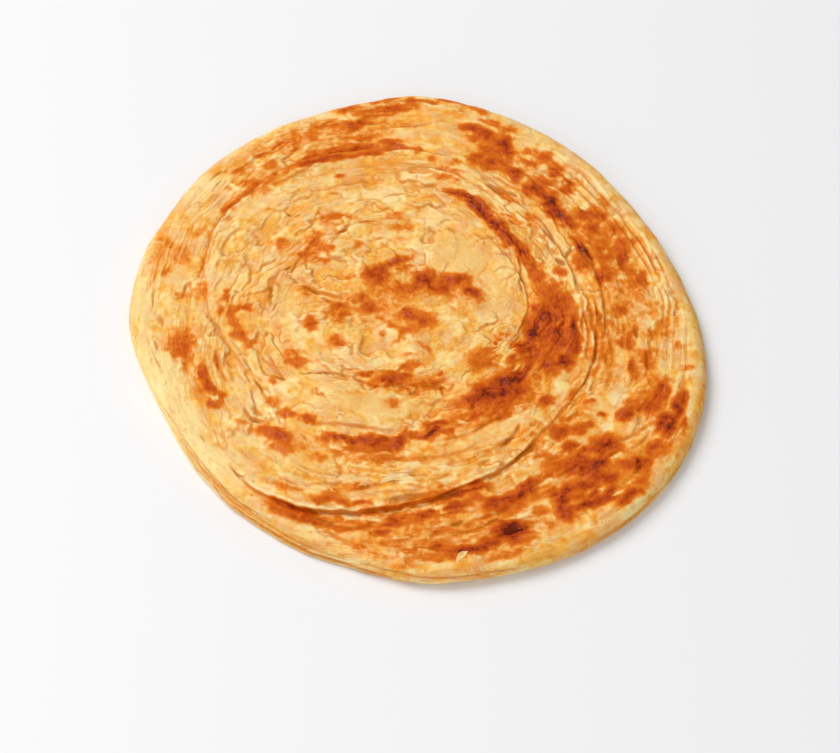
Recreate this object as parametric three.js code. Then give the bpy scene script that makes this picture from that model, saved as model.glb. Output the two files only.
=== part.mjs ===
// A coiled, pan-fried flaky flatbread as one solid, in millimetres, +Z up.
// A buttered rope of thin dough is wound into a coil and rolled flat, so each turn laps over the next one out
// like a roof tile. The flat underside lies on z = 0 and the middle of the bread's box is the origin.
// Angles are in degrees, anticlockwise from +X seen from above, about the middle of the coil.
import * as THREE from "three";

// Overall sizes.
const COIL_MIDDLE = { x: 1.1, y: -3.03 };
const RIM_RADII = [
  93.6, 90.5, 89.9, 91.3, 94.3, 97.3, 100.6, 99.4, 99.6, 99.6, 98.2, 97.6,
  95.6, 89.8, 88.4, 89.3, 90.6, 91.6, 94.3, 95.4, 97.2, 98.2, 98.2, 96.6,
];
const ROPE_HEIGHT = 6.9; // crown of the outermost turn
const DOME_HEIGHT = 1.3; // how much the middle stands above that
const DOME_RADIUS = 76;
const RIM_BELLY = 0.44; // height of the widest part of the rim, as a share of the rope's height
const TOP_ROUNDING = 5.2; // how far the rim's upper and lower curves reach in
const BOTTOM_ROUNDING = 3.4;
// Where the upper curve is tighter: by how much, and the middle and half-width of the stretch.
const NARROW_ROPE = { less: 1.8, middle: 234, spread: 44 };

// Each fold is the outer edge of a lapping layer: one radius every FOLD_PITCH degrees from its first angle,
// and the layer's rise there. The layer slopes away inwards over its reach, and a groove runs along its foot.
const FOLD_PITCH = 15;
const LONG_EDGE_WIDTH = 1.1; // from the top of the step to its foot
const SHORT_EDGE_WIDTH = 1.8;
const GROOVE_WIDTH = 1.3;
// The step where the raised disc overhangs the outermost turn. It is deepest at the front and goes all round.
const DISC_EDGE = { from: 0, reach: 30, groove: 0.6,
  radii: [
    57.3, 55.2, 55.4, 58.5, 61.4, 68, 73.5, 76.5, 79.2, 79.9, 79.5, 74.5,
    73.5, 76.5, 79.5, 82, 79.7, 73.4, 67.9, 63.2, 60.4, 57, 57.2, 58.2,
  ],
  rises: [
    0.6, 0.7, 0.8, 0.8, 0.6, 0.5, 0.8, 1.2, 1.4, 1.4, 1.1, 0.6,
    0.1, 0, 0.1, 1, 2.2, 2.5, 1.9, 1.3, 1, 0.8, 0.6, 0.6,
  ] };
// The edge of the innermost turn.
const HEART_EDGE = { from: 0, reach: 13, groove: 0.5,
  radii: [
    34, 37, 38.6, 40, 43, 45, 43.8, 44.6, 46, 44.6, 43, 45,
    48, 46, 39, 32, 28, 25.3, 24.6, 24.5, 23.5, 23, 26, 30.5,
  ],
  rises: [
    0.7, 0.8, 0.8, 0.7, 0.4, 0.2, 0.3, 0.6, 0.7, 0.5, 0.2, 0.1,
    0.1, 0.3, 0.6, 0.6, 0.5, 0.6, 0.6, 0.5, 0.3, 0.2, 0.2, 0.4,
  ] };
const SHORT_FOLDS = [
  // The outermost turn's inner edge, running in under the disc on the left.
  { from: 150, reach: 14, groove: 0.5, radii: [79, 72, 66, 59.9, 57], rises: [0, 0.6, 0.9, 0.8, 0] },
  // The next turn out on the right.
  { from: 345, reach: 9, groove: 0.5,
    radii: [60.5, 60, 62, 63.8, 69, 73.5, 76],
    rises: [0, 0.8, 1, 1.1, 1.1, 0.8, 0] },
  // Edges within the disc, from its front left inwards.
  { from: 210, reach: 7, groove: 0.5, radii: [76.5, 75.2, 72, 66], rises: [0, 1, 0.7, 0] },
  { from: 180, reach: 6, groove: 0.4, radii: [71.6, 71.2, 70.5, 69], rises: [0, 0.6, 0.6, 0] },
  { from: 60, reach: 8, groove: 0.4, radii: [54, 60.5, 66, 68.5], rises: [0, 0.8, 0.7, 0] },
  { from: 246, reach: 9, groove: 0.3, radii: [65, 60, 56, 51.5], rises: [0, 0.9, 0.9, 0] },
  { from: 210, reach: 11, groove: 0.4, radii: [60, 52, 46, 42, 40, 37.5], rises: [0, 0.8, 1, 1, 0.6, 0] },
  { from: 270, reach: 8, groove: 0.4, radii: [48.5, 46, 44.8, 45.5, 47], rises: [0, 0.9, 1, 0.7, 0] },
  // Valleys in the outermost turn: at the front, at the left and at the back.
  { from: 243, reach: 5, groove: 1, radii: [83.4, 81.5, 80.4, 81], rises: [0, 0.8, 0.7, 0] },
  { from: 187, reach: 9, groove: 0.7, radii: [76.5, 76, 77, 80], rises: [0, 0.6, 0.6, 0] },
  { from: 75, reach: 6, groove: 0.5, radii: [89, 86, 84.8, 86, 88], rises: [0, 0.7, 0.8, 0.6, 0] },
];

// Leaves of dough that show as terraces on the right of the rim.
const LEAF_COUNT = 4;
const LEAF_INSET = 3.2; // of the outermost one, from the rim
const LEAF_SPACING = 2.9;
const LEAF_RISE = 0.8;
const LEAF_REACH = 2.4;
const LEAF_SPAN = { from: 350, to: 422 }; // degrees covered by the outermost leaf
const LEAF_STAGGER = 8; // each one in starts this much further round

// Gaps between the layers of the rim's side: height, depth, and the middle and half-width of the stretch.
const SIDE_GAPS = [
  { height: 2.6, depth: 1.7, middle: 232, spread: 34 },
  { height: 4.9, depth: 1.1, middle: 214, spread: 20 },
  { height: 3, depth: 0.9, middle: 20, spread: 48 },
  { height: 3.4, depth: 0.8, middle: 318, spread: 26 },
  { height: 2.8, depth: 0.8, middle: 130, spread: 44 },
];
const GAP_WIDTH = 0.8;

// Where a lower layer of the outermost turn stands out beyond the upper one: height of its top, how far it
// stands out, and the middle and half-width of the stretch.
const SIDE_LEDGES = [
  { top: 3.4, reach: 1.7, middle: 230, spread: 36 },
  { top: 2.6, reach: 0.9, middle: 28, spread: 60 },
  { top: 1.5, reach: 0.9, middle: 250, spread: 26 },
  { top: 2.8, reach: 0.8, middle: 315, spread: 30 },
];
const LEDGE_HALF_FACE = 0.45;

// Lines of facets. The rings of the top are shared out between the rim, the two long edges and the middle.
const SECTORS = 112;
const BASE_RINGS = [0, 0.4, 0.8]; // shares of the flat underside's radius
const RIM_ANGLES = [-90, -62, -38, -20, -6, 8, 24, 44, 66]; // along the rim's section, 0 at its widest
const EDGE_RINGS = [2.9, 1.6, 0.6, 0, -0.6, -1.8]; // offsets of the rings that follow a long edge
const RINGS_OUTSIDE_DISC_EDGE = 11;
const RINGS_BETWEEN_EDGES = 12;
const RINGS_INSIDE_HEART = 5;

const radians = THREE.MathUtils.degToRad;
const smooth = THREE.MathUtils.smoothstep;
const bell = (offset, width) => Math.exp(-((offset / width) ** 2));

// The value of an evenly spaced list at a fractional place, by a Catmull-Rom curve.
function along(list, place, closed = false) {
  const last = list.length - 1;
  const whole = Math.floor(place);
  const at = (i) => list[closed ? (i + list.length) % list.length : THREE.MathUtils.clamp(i, 0, last)];
  const [a, b, c, d] = [-1, 0, 1, 2].map((k) => at(whole + k));
  const t = place - whole;
  return b + 0.5 * t * (c - a + t * (2 * a - 5 * b + 4 * c - d + t * (3 * (b - c) + d - a)));
}

// 1 along a stretch of the round, fading out at both ends.
function stretch(angle, { middle, spread }) {
  const away = Math.abs(((angle - middle + 540) % 360) - 180);
  return 1 - smooth(away, 0.4 * spread, spread);
}

const rimRadius = (angle) => along(RIM_RADII, angle / FOLD_PITCH, true);

// Where the rim's upper curve turns over into the top.
function topEdgeRadius(angle) {
  const ledges = SIDE_LEDGES.reduce((sum, ledge) => sum + ledge.reach * stretch(angle, ledge), 0);
  return rimRadius(angle) - ledges - topRounding(angle);
}

const topRounding = (angle) => TOP_ROUNDING - NARROW_ROPE.less * stretch(angle, NARROW_ROPE);

// One of the two edges that go all the way round, where it crosses an angle.
function longEdgeAt(edge, angle) {
  const place = angle / FOLD_PITCH;
  const rise = Math.max(0, along(edge.rises, place, true));
  const radius = along(edge.radii, place, true);
  return { radius, rise, reach: edge.reach, groove: edge.groove * rise, width: LONG_EDGE_WIDTH };
}

function shortFoldsAt(angle) {
  const found = [];
  for (const fold of SHORT_FOLDS) {
    for (const turned of [angle, angle + 360]) {
      const place = (turned - fold.from) / FOLD_PITCH;
      if (place <= 0 || place >= fold.radii.length - 1) continue;
      const rise = Math.max(0, along(fold.rises, place));
      const radius = along(fold.radii, place);
      found.push({ radius, rise, reach: fold.reach, groove: fold.groove * rise, width: SHORT_EDGE_WIDTH });
    }
  }
  return found;
}

function leavesAt(angle) {
  const found = [];
  for (let leaf = 0; leaf < LEAF_COUNT; leaf++) {
    const from = LEAF_SPAN.from + leaf * LEAF_STAGGER;
    for (const turned of [angle, angle + 360]) {
      if (turned <= from || turned >= LEAF_SPAN.to) continue;
      const rise = LEAF_RISE * Math.sin((Math.PI * (turned - from)) / (LEAF_SPAN.to - from));
      const radius = rimRadius(angle) - LEAF_INSET - leaf * LEAF_SPACING;
      found.push({ radius, rise, reach: LEAF_REACH, groove: 0.3 * rise, width: LONG_EDGE_WIDTH });
    }
  }
  return found;
}

// What one fold adds to the height at a distance outside its edge.
function foldHeight({ rise, reach, groove, width }, outside) {
  const face = 1 - smooth(outside, -0.5 * width, 0.5 * width);
  const slope = 1 - smooth(-outside, 0, reach);
  return rise * face * slope - groove * bell(outside - width, GROOVE_WIDTH);
}

// The rope's crown rises and sinks a little on the way round the rim.
function crownSwell(angle) {
  return 0.35 * Math.sin(radians(2 * angle + 40)) + 0.25 * Math.sin(radians(5 * angle + 110));
}

// Height of the top away from the rim's curve.
function topHeight(radius, angle, folds) {
  const x = radius * Math.cos(radians(angle));
  const y = radius * Math.sin(radians(angle));
  const dome = DOME_HEIGHT * (1 - smooth(radius, 0.35 * DOME_RADIUS, DOME_RADIUS));
  const swell = crownSwell(angle) * smooth(radius, 0.3 * DOME_RADIUS, DOME_RADIUS);
  const broadDents = 0.34 * Math.sin(x / 9 + 1) * Math.cos(y / 11);
  const smallDents = 0.26 * Math.sin((x + y) / 7) * Math.sin(y / 8 + 2);
  const lapped = folds.reduce((sum, fold) => sum + foldHeight(fold, radius - fold.radius), 0);
  return ROPE_HEIGHT + dome + swell + broadDents + smallDents + lapped;
}

// Radii that share the way between two radii out between a number of rings, crowded where a fold crosses it.
const CROWDING = 4;
const CROWDING_SAMPLES = 60;
function shareOut(outer, inner, rings, folds) {
  const step = (outer - inner) / CROWDING_SAMPLES;
  const totals = [0];
  for (let i = 0; i < CROWDING_SAMPLES; i++) {
    const radius = outer - (i + 0.5) * step;
    let crowd = 0;
    for (const fold of folds) {
      crowd += Math.min(1, fold.rise) * bell(radius - fold.radius, 1.8);
    }
    totals.push(totals[i] + 1 + CROWDING * crowd);
  }
  return Array.from({ length: rings }, (_, ring) => {
    const wanted = (totals[CROWDING_SAMPLES] * (ring + 1)) / (rings + 1);
    const i = totals.findIndex((total) => total > wanted) - 1;
    return outer - (i + (wanted - totals[i]) / (totals[i + 1] - totals[i])) * step;
  });
}

// Radii of the rings of the top, from the rim in to the middle.
function topRings(angle, discEdge, heartEdge, minor) {
  const outer = topEdgeRadius(angle);
  const disc = EDGE_RINGS.map((offset) => discEdge.radius + offset);
  const heart = EDGE_RINGS.map((offset) => heartEdge.radius + offset);
  return [
    outer,
    ...shareOut(outer, disc[0], RINGS_OUTSIDE_DISC_EDGE, minor),
    ...disc,
    ...shareOut(disc.at(-1), heart[0], RINGS_BETWEEN_EDGES, minor),
    ...heart,
    ...shareOut(heart.at(-1), 0, RINGS_INSIDE_HEART, minor),
    0,
  ];
}

// How far the side stands back at a height, for the gaps between its layers and above its ledges.
function sideDepth(height, angle) {
  let depth = 0;
  for (const gap of SIDE_GAPS) {
    depth += gap.depth * stretch(angle, gap) * bell(height - gap.height, GAP_WIDTH);
  }
  for (const ledge of SIDE_LEDGES) {
    const above = smooth(height, ledge.top - LEDGE_HALF_FACE, ledge.top + LEDGE_HALF_FACE);
    depth += ledge.reach * stretch(angle, ledge) * above;
  }
  return depth;
}

// The section of the bread at an angle, from the underside's middle round the rim to the top's middle.
function section(angle) {
  const outer = rimRadius(angle);
  const discEdge = longEdgeAt(DISC_EDGE, angle);
  const heartEdge = longEdgeAt(HEART_EDGE, angle);
  const minor = [...shortFoldsAt(angle), ...leavesAt(angle)];
  const folds = [discEdge, heartEdge, ...minor];
  const crown = topHeight(topEdgeRadius(angle), angle, folds);
  const belly = RIM_BELLY * ROPE_HEIGHT;
  const points = BASE_RINGS.map((share) => [share * (outer - BOTTOM_ROUNDING), 0]);
  for (const degrees of RIM_ANGLES) {
    const up = Math.sin(radians(degrees));
    const rounding = degrees < 0 ? BOTTOM_ROUNDING : topRounding(angle);
    const inset = rounding * (1 - Math.cos(radians(degrees)));
    const height = belly + up * (degrees < 0 ? belly : crown - belly);
    points.push([outer - inset - sideDepth(height, angle), height]);
  }
  for (const radius of topRings(angle, discEdge, heartEdge, minor)) {
    points.push([radius, topHeight(radius, angle, folds)]);
  }
  return points;
}

function breadGeometry() {
  const count = section(0).length;
  const outline = Array.from({ length: count }, (_, i) => {
    return new THREE.Vector2(Math.sin((Math.PI * i) / (count - 1)), i);
  });
  const geometry = new THREE.LatheGeometry(outline, SECTORS);
  const position = geometry.attributes.position;
  for (let sector = 0; sector <= SECTORS; sector++) {
    const angle = (360 * (sector % SECTORS)) / SECTORS;
    section(angle).forEach(([radius, height], i) => {
      const x = radius * Math.cos(radians(angle));
      const y = radius * Math.sin(radians(angle));
      position.setXYZ(sector * count + i, x, y, height);
    });
  }
  geometry.computeVertexNormals();
  return geometry;
}

const toastedDough = new THREE.MeshStandardMaterial({ color: 0xe6b468, roughness: 0.6, metalness: 0 });
const bread = new THREE.Mesh(breadGeometry(), toastedDough);
bread.name = "paratha";
bread.position.set(COIL_MIDDLE.x, COIL_MIDDLE.y, 0);

const paratha = new THREE.Group();
paratha.add(bread);
export default paratha;
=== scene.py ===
"""A coiled, pan-fried flaky flatbread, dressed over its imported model.

Lengths in the tables are millimetres about the middle of the coil: x to the right, y to the back, and angles
anticlockwise from x seen from above. The finished pieces are in metres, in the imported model's frame.
"""
import math

import bpy
import numpy as np
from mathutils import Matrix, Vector


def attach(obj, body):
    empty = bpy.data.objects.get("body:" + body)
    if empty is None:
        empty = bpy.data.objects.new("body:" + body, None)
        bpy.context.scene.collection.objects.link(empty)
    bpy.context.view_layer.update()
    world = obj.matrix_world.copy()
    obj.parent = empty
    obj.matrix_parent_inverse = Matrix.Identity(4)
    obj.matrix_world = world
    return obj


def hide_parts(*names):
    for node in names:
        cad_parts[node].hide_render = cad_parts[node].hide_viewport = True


bl_info = {
    "name": "Coiled flatbread",
    "version": (1, 0, 0),
    "blender": (4, 5, 0),
    "location": "3D View > Sidebar > Flatbread",
    "description": "Builds a pan-fried, flaky coiled flatbread and a plain stage for it",
    "category": "Object",
}

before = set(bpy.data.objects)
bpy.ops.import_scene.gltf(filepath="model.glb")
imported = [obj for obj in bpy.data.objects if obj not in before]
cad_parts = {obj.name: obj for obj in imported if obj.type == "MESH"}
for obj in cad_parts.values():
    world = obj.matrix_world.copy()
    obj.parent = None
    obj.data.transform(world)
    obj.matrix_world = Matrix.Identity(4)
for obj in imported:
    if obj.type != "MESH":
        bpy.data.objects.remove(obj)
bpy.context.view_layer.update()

MM = 0.001
COIL_MIDDLE = (1.1, -3.03)

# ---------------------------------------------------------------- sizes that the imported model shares

# Radii of the rim and of the two edges that go all the way round, at equal angles. An edge also has its
# rises, how far in they reach, its groove as a share of the rise and the width of its face. Patterns of the
# coil follow the edge away from its mean radius, and its pull is how far from it they still do.
RIM_RADII = (
    93.6, 90.5, 89.9, 91.3, 94.3, 97.3, 100.6, 99.4, 99.6, 99.6, 98.2, 97.6,
    95.6, 89.8, 88.4, 89.3, 90.6, 91.6, 94.3, 95.4, 97.2, 98.2, 98.2, 96.6,
)
DISC_EDGE = {
    "radii": (
        57.3, 55.2, 55.4, 58.5, 61.4, 68, 73.5, 76.5, 79.2, 79.9, 79.5, 74.5,
        73.5, 76.5, 79.5, 82, 79.7, 73.4, 67.9, 63.2, 60.4, 57, 57.2, 58.2,
    ),
    "rises": (
        0.4, 0.5, 0.6, 0.6, 0.5, 0.4, 0.6, 1, 1.2, 1.2, 0.9, 0.5,
        0.1, 0, 0, 0.3, 2.1, 2.3, 1.6, 1, 0.7, 0.5, 0.4, 0.4,
    ),
    "reach": 30, "groove": 0.3, "width": 1.0, "mean": 68, "pull": 22,
}
HEART_EDGE = {
    "radii": (
        34, 37, 38.6, 40, 43, 45, 43.8, 44.6, 46, 44.6, 43, 45,
        48, 46, 39, 32, 28, 25.3, 24.6, 24.5, 23.5, 23, 26, 30.5,
    ),
    "rises": (
        0.5, 0.6, 0.6, 0.5, 0.3, 0.1, 0.2, 0.4, 0.5, 0.4, 0.1, 0,
        0, 0.2, 0.4, 0.4, 0.3, 0.3, 0.3, 0.3, 0.1, 0.1, 0.1, 0.3,
    ),
    "reach": 13, "groove": 0.3, "width": 0.8, "mean": 36, "pull": 16,
}

# Edges of the smaller layers: points along the edge, rise, reach and groove. The layer lies on the left of
# the way that the points go, which is the inner side where they go anticlockwise.
LAPS = (
    # The outermost turn's inner edge, running in under the disc on the left.
    (((-69, 40), (-71, 20), (-69, 4), (-65, -3), (-57, -17), (-50, -26)), 0.5, 10, 0.3),
    # Right of the disc: the next turn out and the pleats beside it.
    (((59, -14), (60.8, 0), (60.4, 12), (58.5, 22), (55, 32), (51, 40)), 0.6, 6, 0.35),
    (((44, 54), (36, 63), (27, 69)), 0.5, 5, 0.3),
    (((55, -22), (57.4, -8), (58, 4), (57, 14)), 0.45, 2.5, 0.6),
    (((61.5, -19), (62.6, -12), (62, -6)), 0.4, 2, 0.5),
    (((52, 12), (50.5, 22), (46.5, 30)), 0.6, 3, 0.5),
    (((46, 30), (43, 38), (39, 44)), 0.5, 3, 0.5),
    (((57.8, 20), (57.5, 27), (54, 36)), 0.5, 3, 0.4),
    # Top of the disc.
    (((31, 46), (19, 58), (6, 65), (-8, 67)), 0.5, 6, 0.3),
    (((33, 52), (27, 58), (19, 63)), 0.45, 2.5, 0.5),
    (((30, 50), (25, 56), (20.5, 60.5)), 0.5, 2, 0.6),
    (((-15, 60.5), (-24, 58.5), (-36, 55.5)), 0.5, 4, 0.4),
    (((-0.5, 63.5), (-1.5, 56), (-2, 52)), 0.35, 3, 0.3),
    (((-12, 41.5), (-22, 40), (-29, 33), (-31, 30)), 0.6, 5, 0.6),
    (((38, 22), (33, 31), (27, 38), (16, 39.5)), 0.3, 2.4, 0.4),
    # The left of the disc.
    (((-44, 24), (-47.5, 19), (-49.5, 12), (-48, 5)), 0.55, 3.5, 0.8),
    (((-41, 21), (-36, 15), (-30, 11.5), (-24, 10)), 0.5, 3, 0.7),
    (((-65.5, 0), (-66, -10), (-63.5, -20), (-58, -29)), 0.6, 5, 0.5),
    (((-49.5, -11), (-46, -18), (-43, -23)), 0.4, 3, 0.5),
    (((-50, -23), (-47.5, -28), (-46.5, -32)), 0.3, 3, 0.4),
    (((-56, -31), (-55, -35.5), (-50, -37.5), (-44, -36.5)), 0.45, 2.5, 0.7),
    (((-54.5, -31.5), (-51.5, -34), (-49, -36)), 0.3, 1.5, 0.6),
    (((-73.5, -18), (-71.5, -24), (-67, -30.5), (-61, -32)), 0.8, 4, 0.6),
    # The front of the disc, from the middle out.
    (((-40, -19.5), (-31, -19.3), (-22, -21.5), (-14, -24.5), (-6, -24), (4, -26)), 0.45, 5, 0.4),
    (((-41.5, -38.5), (-31, -39), (-20, -40), (-8, -41.5), (3, -37.5)), 0.5, 6, 0.4),
    (((4, -46.5), (14, -43.5), (24, -38), (33, -33.5)), 0.6, 5, 0.3),
    (((21, -50.5), (27, -46), (30.5, -42), (33, -38)), 0.45, 3, 0.6),
    (((-13, -52), (0, -52), (12, -50.5), (24, -43)), 0.35, 4, 0.3),
    (((-47, -58), (-38, -62), (-30, -61.5), (-22, -61)), 0.5, 4, 0.4),
    (((-25, -65.5), (-14, -62.3), (-6, -60), (1, -57)), 0.7, 4.5, 0.4),
    (((-20, -67.3), (-10, -65), (-1, -64.5), (0, -60)), 0.35, 3, 0.3),
    # Below the step.
    (((-53, -63), (-43, -70.5), (-33, -75), (-22, -77), (-10, -79)), 0.55, 5, 0.35),
    (((10, -77), (17, -75), (25, -71), (31, -67)), 0.5, 3, 0.6),
    (((8, -79.5), (17, -77.5), (24, -74)), 0.4, 2.5, 0.5),
    (((4, -67.5), (14, -64), (22, -62)), 0.4, 3, 0.4),
    (((-32, -72), (-28, -75.5), (-24, -73)), 0.4, 3, 0.4),
    (((-3, -85), (-12, -83), (-22, -81.5)), -0.4, 3, 0.2),
    (((55, -47), (66, -43.5), (76, -37)), 0.4, 2.5, 0.5),
    (((65, -48.5), (70, -45.5), (75, -40)), 0.35, 2, 0.5),
    (((41, -65.5), (42.5, -62), (46, -58)), 0.3, 2.5, 0.3),
    (((62, -63), (67, -58), (71, -53)), 0.4, 2.5, 0.4),
    # The outermost turn at the back.
    (((18, 85), (9, 86.5), (-1, 85.5), (-12, 84), (-16, 82)), 0.4, 4, 0.3),
    (((-32, 79.5), (-38, 77), (-45, 72)), 0.4, 4, 0.3),
    (((30, 70), (24, 75), (17, 78)), 0.4, 3, 0.4),
    # The left of the outermost turn.
    (((-76, 4), (-75.5, -12), (-74, -24)), 0.4, 7, 0.4),
    (((-90, -3), (-87, -11), (-83, -19)), -0.4, 3, 0.4),
    (((-89, 12), (-88.5, 4), (-87.5, 0)), 0.25, 2, 0.3),
)

# ---------------------------------------------------------------- marks on the top

# Each mark is an oval: x, y, length, width, turn in degrees and strength.

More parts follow.
